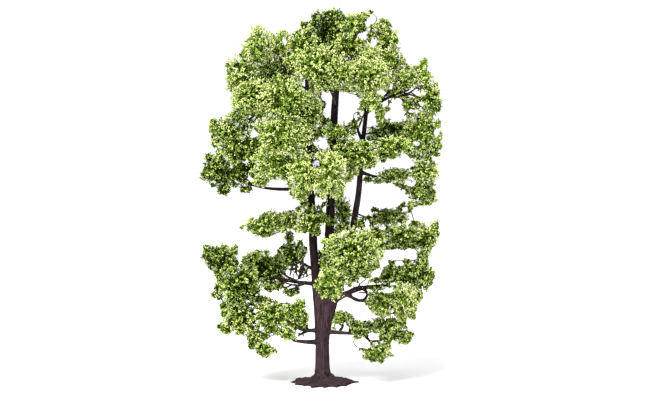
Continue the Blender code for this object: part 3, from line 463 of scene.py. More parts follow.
# Small tufts on side twigs of a cloud, which its solid leaves out: middle x, y, z, and half sizes
# across and up.
TUFTS = {name: tuple(Pad(x, y, z, half_x, TUFT_DEPTH * max(half_x, half_z), half_z)
                     for x, y, z, half_x, half_z in rows) for name, *rows in (
    ("crown_top", (-9.9, 5, 181.6, 3, 2.5), (-4.3, 5, 185.6, 2, 3), (4.8, 5, 187.6, 5.6, 1.8),
        (9.4, 4, 185.6, 2, 1.5), (23.5, 0, 188.2, 1.5, 1.3), (19.4, -4, 179, 2, 0.9),
        (17.4, -4, 177.3, 0.9, 1.5)),
    ("crown_right", (24.9, -4, 181.3, 2.5, 2.3), (35.6, -2, 173.8, 2.3, 4), (23.2, -4, 175.7, 0.9, 3.5),
        (19.9, -4, 172.7, 2.5, 1), (16.4, -4, 176.8, 1.8, 1), (25, 0, 177.4, 0.8, 2),
        (30.6, 0, 183.7, 2.5, 1.1), (33.4, 0, 182.9, 1, 1.8)),
    ("upper_left_inner", (-19, 4, 166.8, 2.8, 2.5), (-15.3, -10, 165.1, 2.3, 2.3),
        (-12.3, -10, 160.1, 2, 2.5), (-18.8, -8, 163.1, 2, 2.5), (-20.2, -2, 178.1, 2.3, 1.3),
        (-29.4, -8, 137, 2.3, 1.5)),
    ("left_shoulder", (-40.1, -3, 167.2, 2.3, 2.5), (-48.7, -3, 161.2, 1.8, 2),
        (-2.3, -4, 146.6, 1.8, 2.3), (0.3, -4, 141.5, 0.9, 2.5), (-0.8, -4, 135.5, 1.8, 1),
        (2.3, -6, 134, 1.5, 1.3)),
    ("canopy", (-5.7, -20, 150.1, 2, 3), (-1.8, -2, 140, 1.8, 4.6), (13.2, -14, 149.6, 5, 1.7),
        (16.8, -12, 146.6, 2, 2), (19.4, -8, 141.1, 1.3, 3), (2.2, -14, 149.6, 3, 1.5)),
    ("right_crown", (40.3, 2, 164.3, 2, 3.5), (33.2, 0, 154.7, 1.8, 1.5), (36.7, 0, 152.1, 1.5, 1.8),
        (43.1, 2, 160.7, 1.8, 1.5), (46.9, 2, 160.2, 1.8, 1.3), (35.3, -4, 156.6, 0.9, 1.5),
        (29.5, -4, 145.6, 1, 1)),
    ("right_shoulder", (32.3, 2, 139.5, 2.3, 1), (41.9, 2, 140.5, 2.5, 2.5), (48, 2, 144.3, 4.1, 1.1),
        (51, 2, 150.4, 1.5, 1.3), (41.4, 2, 145.5, 2.5, 1), (32.3, 2, 134.4, 2.5, 1.3),
        (40.9, 2, 135.9, 1.5, 1.5), (43.4, 2, 136.4, 3, 1.3), (49.5, 2, 136.9, 2, 1.3),
        (47.7, 2, 140.7, 1.3, 1.8), (32.7, 0, 143, 1.5, 1.3), (54.5, 0, 135.4, 1.5, 1.8)),
    ("canopy_right", (27.8, -10, 140.1, 2.3, 3.5), (29.4, -8, 134.5, 1.8, 2.5),
        (34.1, -2, 153.9, 2.5, 1.3), (31.5, -4, 150.6, 2, 2.5), (27, -4, 135, 1.5, 3),
        (29, -4, 131.4, 1.5, 1.5)),
    ("left_edge", (-43.8, 0, 134.9, 3, 2), (-39.4, 2, 130.8, 1.8, 2.3), (-46.3, -2, 136.5, 2.5, 1.5),
        (-56, 0, 132.9, 2, 2), (-55, 0, 121.7, 1.8, 2), (-36.2, -2, 131.9, 1.5, 3),
        (-33.1, -2, 135.5, 3, 1.5), (-40.2, -2, 129.4, 2.5, 1.5), (-41.7, -4, 132.7, 1.5, 1.5),
        (-57, 0, 129.8, 0.9, 3), (-56, 0, 124.8, 1.3, 1.3), (-52.8, 0, 117.2, 1.5, 2.5)),
    ("far_left_high", (-58.2, 2, 115.1, 2.5, 1.8), (-39.9, 2, 109, 3.6, 1.8), (-36.4, 4, 109.9, 3.1, 2.5),
        (-45.5, 0, 101.4, 2.5, 1.8), (-33.8, 2, 106.4, 2, 1.8), (-48.4, -2, 111.2, 1.5, 1.3),
        (-49.5, 0, 102.9, 2, 1.3), (-60.7, 0, 105.5, 1.8, 2.5), (-56.1, 0, 100.9, 1.5, 1.3),
        (-39.9, 0, 97.9, 2.5, 1.5), (-51.1, 0, 97.3, 2, 1.5), (-39.7, -4, 113, 2, 1.3),
        (-36.2, -2, 105.8, 1.5, 1.8)),
    ("left_front", (-19.4, -10, 105.9, 3, 2.5), (-25.3, -12, 106, 2, 1.8), (-7.7, -15, 126.2, 2.5, 1.7),
        (-16.9, -6, 101.7, 2, 2), (-4, -8, 126.5, 1.8, 3.5), (-6.8, -10, 130.1, 2, 2.5),
        (-7.3, -10, 124, 2, 2.5)),
    ("centre_front", (13.3, -14, 107.1, 2.5, 2.5), (7.7, -18, 97.3, 3, 3), (12.3, -12, 104.5, 3, 1.8),
        (16.3, -10, 107.4, 1.5, 2), (9.3, -14, 100.6, 1.5, 2.5), (8.8, -14, 96.6, 1.3, 2),
        (2.8, -6, 123.4, 1, 2.3), (10.8, -8, 126, 2, 0.8)),
    ("centre_middle", (0.3, 6, 132.8, 2.6, 2.6), (-1.3, 4, 128.2, 2, 3.6), (11.4, -3, 128.4, 2, 2.5),
        (15.4, -2, 137, 1.8, 1.3), (17.5, -1, 136.4, 1.5, 3), (14.9, -2, 127.4, 2, 1.8)),
    ("right_band", (22.6, 0, 103.7, 3, 1.8), (27.7, 0, 102.9, 3, 1.5), (55.1, 3, 95.2, 1.5, 4.1),
        (32.3, 0, 102.9, 1.5, 1.3), (51.6, 0, 91.8, 3.6, 1.5), (47, 0, 91.2, 1.5, 1.3),
        (55.1, 0, 101.9, 1.5, 2.3), (57.1, 0, 107, 1.5, 1.5), (37.3, 0, 101.2, 1.8, 1),
        (41.4, 0, 97.3, 2, 1.5), (43.7, 0, 95.3, 1, 1.5), (56.1, 0, 96.8, 1, 2), (56.2, 0, 92.8, 1.3, 1)),
    ("right_edge", (58.1, 0, 131.9, 1.3, 2.5), (57.6, 0, 123.8, 2, 3), (56.1, 0, 118.7, 2.5, 3),
        (52.5, 0, 115.1, 3, 2), (45.4, 0, 116.2, 3, 2), (48.5, 0, 115.1, 2, 2), (59.1, 0, 125.8, 1, 2.5),
        (59.1, 0, 120.7, 1, 2), (57.6, 0, 116.2, 1.5, 1.5), (42.3, -2, 118, 2, 1.3),
        (55.1, 0, 112.1, 1.3, 1.8)),
    ("right_tip", (58.5, 0, 142, 1.3, 2.5), (57.5, 0, 147.6, 1.3, 2.5), (58, 0, 139, 1.3, 1.5),
        (56.7, 0, 151.6, 1.3, 1.5)),
    ("stem_front", (-15.4, -6, 96.7, 2.5, 2), (-9.8, -6, 92.1, 2.5, 2.5), (-9.3, -8, 78.1, 2.5, 1.5),
        (-0.8, -4, 84.9, 1.5, 4.1), (-12.4, -6, 89.1, 2, 2), (-13.4, -6, 78.9, 2, 1.5),
        (3.3, -8, 82.9, 2.5, 2.3), (-0.8, -6, 90.1, 1.8, 2), (-2.5, -6, 90.1, 1.3, 1.3),
        (-1.8, -6, 95.6, 2.5, 3), (0.3, -6, 91.1, 1.3, 3), (0.4, -6, 85.5, 0.9, 3.5),
        (-2.5, -8, 77.6, 1, 2.5)),
    ("mid_left", (-37.7, -4, 80.8, 1.3, 3), (-41.3, -4, 79.8, 1, 1), (-41.5, -4, 79.3, 1, 0.8),
        (-30.1, -6, 75.9, 3, 1.3), (-27, -6, 76.4, 2.5, 1.5), (-35.2, -4, 77.8, 1.5, 1.3),
        (-20.5, -6, 78.4, 2.5, 1.3), (-36.1, -6, 85, 1, 1.1)),
    ("front_high", (8.3, -14, 80, 3, 2.5), (14.7, -22, 55.1, 3.5, 2), (21.3, -14, 55.3, 3, 2.5),
        (27, -8, 61.4, 2, 3), (28.6, -6, 69.3, 2, 1.5), (29, -8, 66.4, 1.3, 3), (4.3, -10, 72.7, 2.5, 2.3),
        (23.9, -10, 59.5, 1.5, 2.5), (26.5, -10, 58.5, 1.5, 1)),
    ("right_middle", (24.6, -2, 82.2, 2.3, 2.5), (32.2, -3, 70.6, 5.1, 2), (45, 0, 70.3, 4.1, 2),
        (49.6, 0, 65.2, 2.3, 3.1), (55.7, 0, 78.5, 3.1, 3.1), (26.1, -2, 88.8, 2.5, 1.3),
        (22.6, -2, 84.8, 2, 1.3), (38.4, 0, 90.2, 1.8, 2.5), (44, 0, 89.7, 1.5, 3.6),
        (46.5, 0, 81.1, 3.1, 2), (44.5, 0, 79, 1.5, 2), (57.2, 0, 80, 1.5, 3.1), (57.7, 0, 76, 1.8, 2),
        (34.3, -3, 69.6, 4.6, 1.5), (39.9, -2, 69.5, 3, 1.5), (17.3, -1, 81.6, 1, 3),
        (39.9, 0, 91.2, 1.8, 1.5), (43.6, 0, 80.5, 0.9, 2.5), (28.1, -6, 82.5, 1.5, 1),
        (32.6, -6, 79.9, 1.5, 1), (19.3, -2, 79.2, 1.5, 1.3)),
    ("right_low", (34.5, 4, 58.2, 2.6, 2.6), (47.1, 0, 43.8, 2, 3.6), (34.4, 2, 61.2, 2, 1.3),
        (42, 0, 62.2, 2, 1), (51.7, 0, 64.2, 1.5, 4.1), (54.8, 0, 55.5, 2.3, 3.6),
        (52.2, 0, 49.4, 1.8, 2.5), (49.2, 0, 44.3, 1.8, 3.6), (26.9, -3, 48.4, 4.6, 0.8),
        (26.9, -4, 52.6, 3.6, 1.4), (22.5, -8, 52.7, 1.8, 1.3), (52.4, 0, 61.2, 1.3, 2.5),
        (54.3, 0, 51.4, 1.3, 2)),
    ("right_low_front", (38.7, -8, 36.5, 4.6, 2.5), (30.6, -8, 37, 3.5, 3), (44.9, -6, 34.7, 2.5, 2.5),
        (25.5, -8, 39, 2, 2.5), (45.5, -4, 38.1, 2, 3.6), (40.2, -8, 33.9, 3, 2.5),
        (41.3, -6, 30.1, 1.8, 2.5), (33.1, -8, 36.5, 1.3, 2), (27.6, -8, 36.5, 2, 2),
        (22, -6, 40.3, 2, 2.5), (12.4, -10, 50.9, 2.5, 1.3), (16.9, -10, 52.9, 1, 1)),
    ("low_right", (9.4, 0, 32.5, 3.6, 2.5), (13.5, -1, 33.6, 2, 2.5), (5.9, 0, 34.5, 1.5, 1.5),
        (32.7, -6, 23.5, 3.6, 2.5), (8.4, 0, 35.6, 2.5, 1.5), (12, 0, 35.1, 2.5, 1.5),
        (5.9, 0, 31.7, 2, 1.5), (14.5, 0, 32, 2, 1.3), (17, -4, 24, 2, 1.5), (21.6, -4, 25.3, 1.5, 2),
        (26.6, -6, 27.1, 2.5, 1), (29.2, -6, 24, 1, 2), (36.3, -6, 24, 2, 2), (32.7, -6, 21.5, 2.5, 1.3),
        (45, -4, 25.1, 1.5, 1.5), (41.4, -4, 21.5, 2.5, 1.5), (19, -8, 18.2, 1.3, 0.8),
        (21.5, -8, 14.1, 1.8, 1.5), (25.1, -8, 12.6, 2, 1), (29.1, -8, 12.1, 1.5, 1.5),
        (34.2, -8, 15.6, 1.8, 1.8), (33.2, -8, 19.2, 1.3, 1.5), (5.9, 0, 30.4, 2, 1),
        (12, 0, 29.4, 1.3, 2), (5.4, 0, 27.9, 1.5, 0.7), (20.5, -8, 16.9, 1.3, 1)),
    ("arm", (-10, 6, 67.3, 1.5, 2.6), (-21.8, 8, 69.2, 2.6, 2.6), (-28.5, 10, 48.9, 4.1, 2.3),
        (-22.3, 8, 50.1, 3.1, 1.5), (-17.1, 4, 45.9, 2.6, 2), (-11.5, 4, 71.1, 1.5, 1.5),
        (-40.6, 4, 62.8, 1.5, 2), (-27.4, 4, 48, 3.6, 1.8), (-22.7, 4, 49, 2.6, 2),
        (-13.5, 2, 47.1, 1.5, 2.6), (-16.6, 2, 45.1, 2.6, 1.5), (-9.4, 4, 56.2, 1, 2.6),
        (-12, 4, 53.1, 1, 0.8), (-33.8, 0, 67, 1.8, 1), (-28.2, -2, 66.7, 2.5, 1.3),
        (-22.6, -2, 66.7, 1.5, 2), (-40.7, 0, 61.7, 1, 1.5), (-19.7, 4, 46.7, 1, 1.5),
        (-23.8, 4, 47.5, 1.5, 1), (-27.3, 2, 46.9, 1.5, 0.8), (-11, 4, 56.7, 1.3, 1.5),
        (-12.8, 4, 53.6, 1.3, 1), (-15.3, 4, 57.7, 1, 1), (-8.7, 4, 54.9, 0.8, 1)),
    ("far_left", (-44.4, -2, 61.3, 2.5, 3), (-46, 0, 67.3, 1.5, 2.5), (-53.5, -4, 55.9, 2.3, 2.5),
        (-53.4, -6, 44.4, 3, 2.8), (-50.4, -6, 39.8, 2.5, 2.5), (-32.6, -8, 43.6, 4, 2),
        (-44.8, 0, 67.8, 1.3, 3.1), (-41.6, 2, 59.4, 1.5, 1.3), (-49.5, -2, 58.8, 3, 2),
        (-51.5, -4, 53.4, 2.5, 1.8), (-54.6, -2, 56.7, 1.3, 2), (-54, -4, 49.3, 1.5, 3),
        (-55.8, -4, 45.5, 1.5, 1.5), (-50.4, -6, 35.8, 2, 3), (-46.9, -4, 42.2, 3, 1.5),
        (-45.2, -4, 39.6, 1.3, 2.5), (-35.8, -4, 49.3, 2, 2.5), (-33.7, -6, 47.5, 2, 2),
        (-36.2, -6, 44.4, 2, 2), (-36.3, -4, 41.1, 1.5, 1.5), (-57.8, 0, 59.6, 1, 1.3),
        (-45.3, -6, 58.6, 1.5, 1.3), (-50.9, -6, 57.1, 1.5, 1.5), (-52.3, -4, 48.8, 1, 3)),
    ("low_left", (-50.4, -6, 29.1, 3, 3), (-36.7, -8, 27.8, 2, 3.5), (-36.7, -8, 20.7, 1.5, 2.5),
        (-27, -10, 28.1, 3.5, 2), (-26.6, -8, 17.7, 2, 2), (-48.9, -6, 26.8, 3, 1.5),
        (-52.5, -6, 29.6, 1.5, 1.5), (-42.3, -6, 26.6, 2.5, 1.8), (-38, -8, 24.8, 1.3, 2.5),
        (-36.4, -8, 18.7, 1.5, 1.2), (-29.6, -8, 14.9, 2.5, 1), (-24.6, -8, 16.9, 1, 1.3)),
    ("low_left_inner", (-15.9, -12, 31.9, 3, 2.5), (-10.9, -8, 29.4, 1.8, 1.8), (-28.1, -8, 43.1, 2.5, 2),
        (-23, -8, 41.1, 3, 2), (-17.9, -8, 41.1, 2, 2), (-13.4, -10, 41.8, 3, 2.5),
        (-11.4, -10, 38.7, 2.5, 3.5), (-9.3, -10, 34.2, 2, 3.5), (-10.4, -8, 30.4, 2, 2.5),
        (-18.4, -10, 36.2, 1.5, 6.1), (-13.9, -8, 29.4, 2, 1.8), (-14.9, -8, 24.3, 1.3, 1.5),
        (-9.9, -6, 41.4, 1, 2), (-33.6, -8, 29.6, 1.8, 1.5), (-23.5, -8, 26.3, 2, 1.3),
        (-29.1, -8, 24.8, 2, 2.5)),
    ("crown_left", (-6, -2, 183.1, 1.5, 1.3)),
    ("upper_left", (-33.1, 0, 180.1, 2, 1.3), (-37.8, -4, 164.2, 1.5, 1.5), (-28.4, -6, 165.7, 1.3, 1),
        (-48.8, 0, 159.2, 1, 1.5), (-47.4, 0, 150.1, 1.3, 2), (-44.8, 0, 146.1, 1.3, 2)),
    ("right_front", (23.5, -2, 124.8, 2, 1.5), (26.5, -4, 122.9, 2, 1.5), (29.5, -8, 116.9, 4.5, 2.5),
        (23.9, -8, 112.4, 3.5, 2.3), (35.6, -6, 116.9, 3.5, 1.8), (30, -6, 114.1, 2, 1.5),
        (34.6, -6, 115.1, 2, 0.8), (22.4, -8, 110.4, 2.5, 0.8), (24.4, -8, 121, 1.3, 1)),
    ("right_middle_back", (12, 4, 79.8, 2, 3.1), (6.9, 4, 76.7, 1.8, 2.6), (6.9, 2, 91.6, 1.3, 3.1),
        (6.1, 2, 81.9, 0.8, 1.8)),
    ("front_low", (0.8, -3, 60.9, 2.8, 4.6), (-1.5, 5, 59.2, 1, 3.1), (-1.8, 5, 64.8, 0.8, 2.6)),
)}

ALL_PADS = [pad for cloud in CLOUDS.values() for pad in cloud.pads]

# The clouds whose flakes and twigs are joined into one piece each.
REGIONS = {
    "crown": ("crown_top", "crown_right", "crown_left", "crown_back", "upper_left",
              "upper_left_inner"),
    "canopy": ("canopy", "canopy_right", "right_crown", "right_back", "right_shoulder",
               "right_tip"),
    "upper_left": ("left_shoulder", "left_centre", "upper_left_back", "left_edge",
                   "far_left_high"),
    "middle_left": ("left_front", "left_back", "centre_front", "centre_middle", "centre_back"),
    "upper_right": ("right_front", "right_inner", "right_edge", "right_band", "right_middle",
                    "right_middle_back"),
    "left": ("stem_front", "mid_left", "mid_back", "arm", "low_left_inner", "low_back"),
    "far_left": ("far_left", "low_left"),
    "right": ("front_high", "front_low", "right_low", "right_low_front", "low_right"),
}

# How bright the flakes in a cloud are, from -1 for all dark to 1 for all pale: partly the blend of flakes,
# and partly painted light and shade, paler for lit clouds and darker for shaded ones.
TONES = {
    "crown_top": -0.6, "crown_right": 0.1, "upper_left": 0.35, "upper_left_inner": 0.4,
    "left_shoulder": 0.15, "left_centre": 0.2, "canopy": 0.2, "canopy_right": 0.4,
    "right_crown": 0.2, "right_shoulder": 0.35, "left_front": 0.35, "far_left_high": -0.35,
    "centre_front": 0.4, "centre_middle": 0.1, "right_front": 0.05, "right_inner": -0.2,
    "right_edge": 0.1, "right_band": 0.1, "arm": -0.1, "far_left": -0.2, "low_left": 0.1,
    "low_left_inner": 0.1, "front_high": 0.1, "front_low": 0.15, "right_middle": -0.1,
    "right_low_front": 0.3, "low_right": 0.15, "mid_left": 0.15, "right_middle_back": 0.15,
}


class Opening(NamedTuple):
    """A gap through the crown in which no foliage grows, as its middle and half sizes in front view."""

    x: float
    z: float
    half_x: float
    half_z: float


OPENINGS = [Opening(*row) for row in (
    (2.3, 141.2, 2, 6.2), (13.6, 140.5, 5.3, 6.8), (24.8, 134.4, 2.2, 3.5), (37.5, 138.3, 3.4, 4.9),
    (35.7, 135.7, 4.8, 1.8), (30.4, 147.3, 1.7, 0.8), (31.7, 142.5, 1.5, 1.2), (46.9, 147.8, 2, 1),
    (50.8, 147.3, 1.5, 1), (49.5, 152, 1.5, 0.7), (45.1, 142.4, 1.1, 0.8), (50.2, 141.8, 1, 1.3),
    (45.9, 138.4, 3.3, 0.9), (47.7, 122, 2.3, 1.3), (26.7, 108.8, 4.3, 1.3), (39.3, 111.8, 6.3, 2),
    (32.8, 94.8, 10.2, 5.6), (43.4, 101.4, 4.1, 1), (19.5, 176.2, 2.9, 1.4), (25.6, 173.3, 1.4, 2.1),
    (12.7, 164.8, 2.1, 1.2), (33.9, 157.4, 0.8, 1.3), (34.2, 150.6, 0.8, 1.5), (-19.7, 160.2, 1.3, 1.3),
    (-8.9, 152.1, 1.5, 2.3), (-20, 173.6, 1.3, 3), (-35, 126.3, 2.3, 2.2), (-37.8, 131.4, 0.6, 1.6),
    (-35.5, 135.2, 1.8, 0.5), (-40.3, 134.3, 1.5, 0.5), (-28.9, 129.3, 1.1, 0.6), (0, 121.5, 2.3, 3),
    (-3.8, 122.1, 2, 1), (-3.8, 112.1, 2.3, 3), (-39.6, 112.6, 2.7, 1.1), (-37.1, 103.3, 1.2, 1.7),
    (-43.9, 102.6, 1.3, 0.8), (-41.1, 104.1, 0.6, 0.6), (-40.1, 100.9, 1.7, 0.7), (-23.9, 101.4, 4.5, 1.7),
    (-31.2, 93.3, 16.3, 4.6), (-2, 92.5, 2.4, 2.3), (0.4, 88.7, 1, 2.3), (-0.2, 77.5, 1.3, 2),
    (-9.4, 74.4, 2.5, 2.5), (-17.3, 55.5, 1.7, 2.5), (-8.9, 56, 1.7, 2.5), (-11.5, 53.3, 4.6, 0.8),
    (-8.1, 63.2, 1.3, 2), (-42.8, 62.7, 1.4, 2.3), (-30.3, 46.1, 2.2, 1.2), (-25.2, 44.3, 4.1, 1.5),
    (-20.6, 42.2, 3.6, 1.7), (-7, 42.2, 2.3, 7.1), (-34.7, 36.3, 1.6, 1.3), (-33.9, 31.2, 0.9, 0.9),
    (-10.4, 25.3, 4.1, 2.6), (16.1, 38.1, 7.6, 3.3), (20.7, 34.3, 4.1, 2.5), (5.6, 29.2, 2.3, 1.5),
    (11.2, 28.4, 1.3, 1.5), (21.9, 80.8, 1.5, 2.5), (31, 79.3, 1.7, 0.7), (43, 80.8, 0.8, 2.5),
    (38.4, 65, 8.1, 2.2), (31.1, 61.2, 1.5, 2), (27, 55.8, 2.3, 1.8), (20.6, 52.2, 2.5, 1.7),
    (35.2, 50.7, 1.9, 0.8), (30.8, 47, 6.1, 0.6), (11.7, 48.6, 1.6, 1.6), (18.4, 44.8, 3.1, 1.9),
    (26, 23.5, 1.8, 1.4), (21.7, 21.2, 2, 2.6), (35.1, 35.6, 0.9, 1.5), (31.6, 32.5, 0.8, 1.7),
    (20.9, 86.6, 2.8, 1.6), (-15, 91.2, 2.8, 2), (47.5, 86.7, 2.5, 2.5), (-41.7, 179.9, 4.8, 5.6),
    (-24, 180.4, 2.5, 2), (-14.9, 182.4, 3, 3.5), (-8.8, 184.9, 2.5, 1.8), (-52.9, 159.2, 4.1, 3),
    (-51.4, 151.6, 2.5, 2.5), (-59.6, 125.8, 2.5, 2), (-58.1, 120.7, 2.3, 2), (-61.1, 116.7, 2, 1.8),
    (23, 183.9, 2.5, 2.5), (36.2, 184.4, 3, 4.5), (32.1, 187.7, 2.5, 2), (43.8, 165.8, 3.3, 4),
    (55.9, 161.2, 2.8, 4.6), (-35.3, 87.2, 4.1, 4.1), (-29.2, 89.2, 3, 1.8), (-23.7, 71.4, 3.3, 3.1),
    (-25.7, 66.3, 2, 2), (-63.4, 67.3, 2.5, 2.5), (-55.7, 71.9, 3.6, 1.8), (-55.3, 41.7, 2.5, 1.5),
    (41.4, 88.7, 1.5, 1.1), (39, 60.9, 2.3, 1.4), (46.1, 63.7, 2, 1.2), (22.2, 18.1, 1.5, 1.3),
    (-4.7, 58.6, 1.9, 6.4), (-5.3, 45.3, 1.6, 2.3), (57.6, 127.3, 1.3, 2.5), (40.8, 135.9, 1.3, 1.8),
    (18.6, 13.8, 1.4, 2.3), (36, 15.6, 2, 1.5), (19.1, 18.4, 1.3, 1.8), (43.6, 29.9, 1.5, 2.3),
    (46.4, 25.8, 1.5, 1.5), (25.2, 91.2, 1.8, 1.5), (-1, 69.6, 1.6, 1.4), (-19.7, 160.5, 0.8, 1.1),
    (11.4, 164.5, 1.3, 0.8), (-4.6, 113.6, 1.3, 1.5), (-33.8, 99.1, 3, 1), (-16, 41.5, 2.5, 1),
)]


# ---------------------------------------------------------------- materials

def linear(code):
    """A colour given as sRGB hex, turned to linear RGBA."""
    channels = [int(code[k:k + 2], 16) / 255 for k in (1, 3, 5)]
    return (*(c / 12.92 if c <= 0.04045 else ((c + 0.055) / 1.055) ** 2.4 for c in channels), 1.0)


def new_material(name):
    """An empty node material and its object coordinates."""
    material = bpy.data.materials.new(name)
    material.use_nodes = True
    return material, add_node(material, "ShaderNodeTexCoord").outputs["Object"]


def add_node(material, kind, settings=None, links=None):
    """Add a node. Settings are its properties or input values, links its inputs' sources."""
    tree = material.node_tree
    node = tree.nodes.new(kind)
    for name, value in (settings or {}).items():
        if isinstance(name, int) or name in node.inputs:
            node.inputs[name].default_value = value
        else:
            setattr(node, name, value)
    for name, source in (links or {}).items():
        tree.links.new(source, node.inputs[name])
    return node


def add_noise(material, source, size, detail):
    """Noise whose grains are about size mm across."""
    return add_node(material, "ShaderNodeTexNoise", {"Scale": 1 / (size * MM), "Detail": detail},
                    {"Vector": source})


def add_colours(material, source, steps):
    """A ramp of colours, from pairs of position and hex code."""
    paint = add_node(material, "ShaderNodeValToRGB", links={"Fac": source})
    ramp = paint.color_ramp
    while len(ramp.elements) < len(steps):
        ramp.elements.new(0.5)
    for element, (position, code) in zip(ramp.elements, steps):
        element.position = position
        element.color = linear(code)
    return paint.outputs["Color"]


def set_shader(material, values, links):
    """Give the material's shader its fixed values and what drives the others."""
    shader = material.node_tree.nodes["Principled BSDF"]
    for name, value in values.items():
        shader.inputs[name].default_value = value
    for name, source in links.items():
        material.node_tree.links.new(source, shader.inputs[name])
    return material


def moulded_brown_plastic():
    """Polyethylene moulded with bark relief: a dark purplish brown, duller and nearly black in the furrows
    and lighter on the ridges, with fine fibres drawn along each limb; painted shade darkens the stems up
    in the crown, and painted light lifts a stretch of the right stem."""
    material, place = new_material("moulded_brown_plastic")
    # How light the paint is: lighter on raised bark, darker where painted shade falls up in the crown.
    paint_lightness = add_node(material, "ShaderNodeAttribute", {"attribute_name": "paint_lightness"})
    fibre = add_node(material, "ShaderNodeAttribute", {"attribute_name": "fibre"})
    strands = add_node(material, "ShaderNodeTexNoise", {"Scale": 1.6, "Detail": 3.0},
                       {"Vector": fibre.outputs["Vector"]})
    mottle = add_noise(material, place, 3.0, 3.0)
    relief_and_painted_shade = add_node(material, "ShaderNodeMath", {"operation": "MULTIPLY_ADD", 1: 0.40},
                    {0: paint_lightness.outputs["Fac"], 2: strands.outputs["Fac"]})
    mixed = add_node(material, "ShaderNodeMath", {"operation": "MULTIPLY_ADD", 1: 0.45},
                     {0: mottle.outputs["Fac"], 2: relief_and_painted_shade.outputs[0]})
    paint = add_colours(material, mixed.outputs[0], [(0.40, "#0c0605"), (0.62, "#1f1312"),
                                                     (0.85, "#2d2023"), (1.0, "#3e2e34")])
    pits = add_noise(material, place, 0.35, 4.0)
    bump = add_node(material, "ShaderNodeBump", {"Strength": 0.4, "Distance": 0.10 * MM},
                    {"Height": strands.outputs["Fac"]})
    dull = add_node(material, "ShaderNodeMapRange", {"To Min": 0.60, "To Max": 0.80},
                    {"Value": pits.outputs["Fac"]})
    return set_shader(material, {"IOR": 1.5, "Specular IOR Level": 0.12},
                      {"Base Color": paint, "Roughness": dull.outputs["Result"],
                       "Normal": bump.outputs["Normal"]})


def twig_plastic():
    """The same plastic drawn out thin: nearly black, with a little more gloss and no relief."""
    material, place = new_material("drawn_brown_plastic")
    streaks = add_noise(material, place, 1.5, 2.0)
    paint = add_colours(material, streaks.outputs["Fac"], [(0.35, "#120a09"), (0.65, "#2a1c1c")])
    return set_shader(material, {"IOR": 1.5, "Roughness": 0.6, "Specular IOR Level": 0.15},
                      {"Base Color": paint})


# Dyed shades of the flakes, from the darkest to the palest.
FOAM_SHADES = {
    "ivy": "#283805",
    "pine": "#566c1c",
    "moss": "#769233",
    "leaf": "#96b153",
    "fern": "#b0c966",
    "spring": "#c4d678",
    "lime": "#d1dc8b",
    "straw": "#dfe4a2",
}


def foam_flake(shade, code):
    """Polyurethane foam, dyed and ground: dead matt, because its open cells let no gloss form.
    The cells are about 0.15 mm across, drawn here at 0.3 mm so that they show."""
    material, place = new_material(f"ground_foam_{shade}")
    cells = add_node(material, "ShaderNodeTexVoronoi", {"Scale": 1 / (0.3 * MM)}, {"Vector": place})
    bump = add_node(material, "ShaderNodeBump", {"Strength": 0.5, "Distance": 0.05 * MM},
                    {"Height": cells.outputs["Distance"]})
    dull = add_node(material, "ShaderNodeMapRange", {"To Min": 0.85, "To Max": 1.0},
                    {"Value": cells.outputs["Distance"]})
    return set_shader(material, {"Base Color": linear(code), "IOR": 1.45, "Specular IOR Level": 0.05},
                      {"Roughness": dull.outputs["Result"], "Normal": bump.outputs["Normal"]})


def white_paper():
    """Seamless studio paper: matt white with the faintest fibre."""
    material, place = new_material("white_paper")
    fibre = add_noise(material, place, 25.0, 2.0)
    paint = add_colours(material, fibre.outputs["Fac"], [(0.3, "#f8f8fa"), (0.7, "#fafafc")])
    return set_shader(material, {"Roughness": 0.9, "Specular IOR Level": 0.1}, {"Base Color": paint})


# ---------------------------------------------------------------- arrays and meshes

def unit(vectors):
    """Vectors scaled to length one."""
    return vectors / np.maximum(np.linalg.norm(vectors, axis=-1, keepdims=True), 1e-9)


def mesh_object(name, points, faces, materials, shades=None):
    """An object from an array of points in mm and an array of triangles."""
    mesh = bpy.data.meshes.new(name)
    mesh.vertices.add(len(points))
    mesh.vertices.foreach_set("co", (np.asarray(points) * MM).astype(np.float32).ravel())
    mesh.loops.add(faces.size)
    mesh.loops.foreach_set("vertex_index", faces.astype(np.int32).ravel())
    mesh.polygons.add(len(faces))
    mesh.polygons.foreach_set("loop_start", np.arange(0, faces.size, 3, dtype=np.int32))
    for material in materials:
        mesh.materials.append(material)
    if shades is not None:
        mesh.polygons.foreach_set("material_index", shades.astype(np.int32))
    mesh.update(calc_edges=True)
    made = bpy.data.objects.new(name, mesh)
    bpy.context.scene.collection.objects.link(made)
    return made


def joined(parts):
    """Several pairs of points and triangles as one pair."""
    starts = np.cumsum([0] + [len(points) for points, _ in parts[:-1]])
    points = np.concatenate([points for points, _ in parts])
    faces = np.concatenate([faces + start for (_, faces), start in zip(parts, starts)])
    return points, faces


def side_ways(along):
    """Two directions across each given one, square to it and to each other."""
    helper = np.where(np.abs(along[..., 2:3]) < 0.9, [0.0, 0.0, 1.0], [1.0, 0.0, 0.0])
    first = unit(np.cross(along, helper))
    return first, np.cross(along, first)


def skins(points):
    """Closed skins through arrays of rings, (count, levels, sides, 3), as points and triangles."""
    count, levels, sides = points.shape[:3]
    index = np.arange(count * levels * sides).reshape(count, levels, sides)
    after = np.roll(index, -1, axis=2)
    faces = [np.stack([index[:, :-1], after[:, :-1], after[:, 1:]], -1).reshape(-1, 3),
             np.stack([index[:, :-1], after[:, 1:], index[:, 1:]], -1).reshape(-1, 3)]
    for ring, near, far in ((index[:, -1], 0, 1), (index[:, 0], 1, 0)):
        faces += [np.stack([ring[:, 0], ring[:, k + near], ring[:, k + far]], -1)
                  for k in range(1, sides - 1)]
    return points.reshape(-1, 3), np.concatenate(faces)


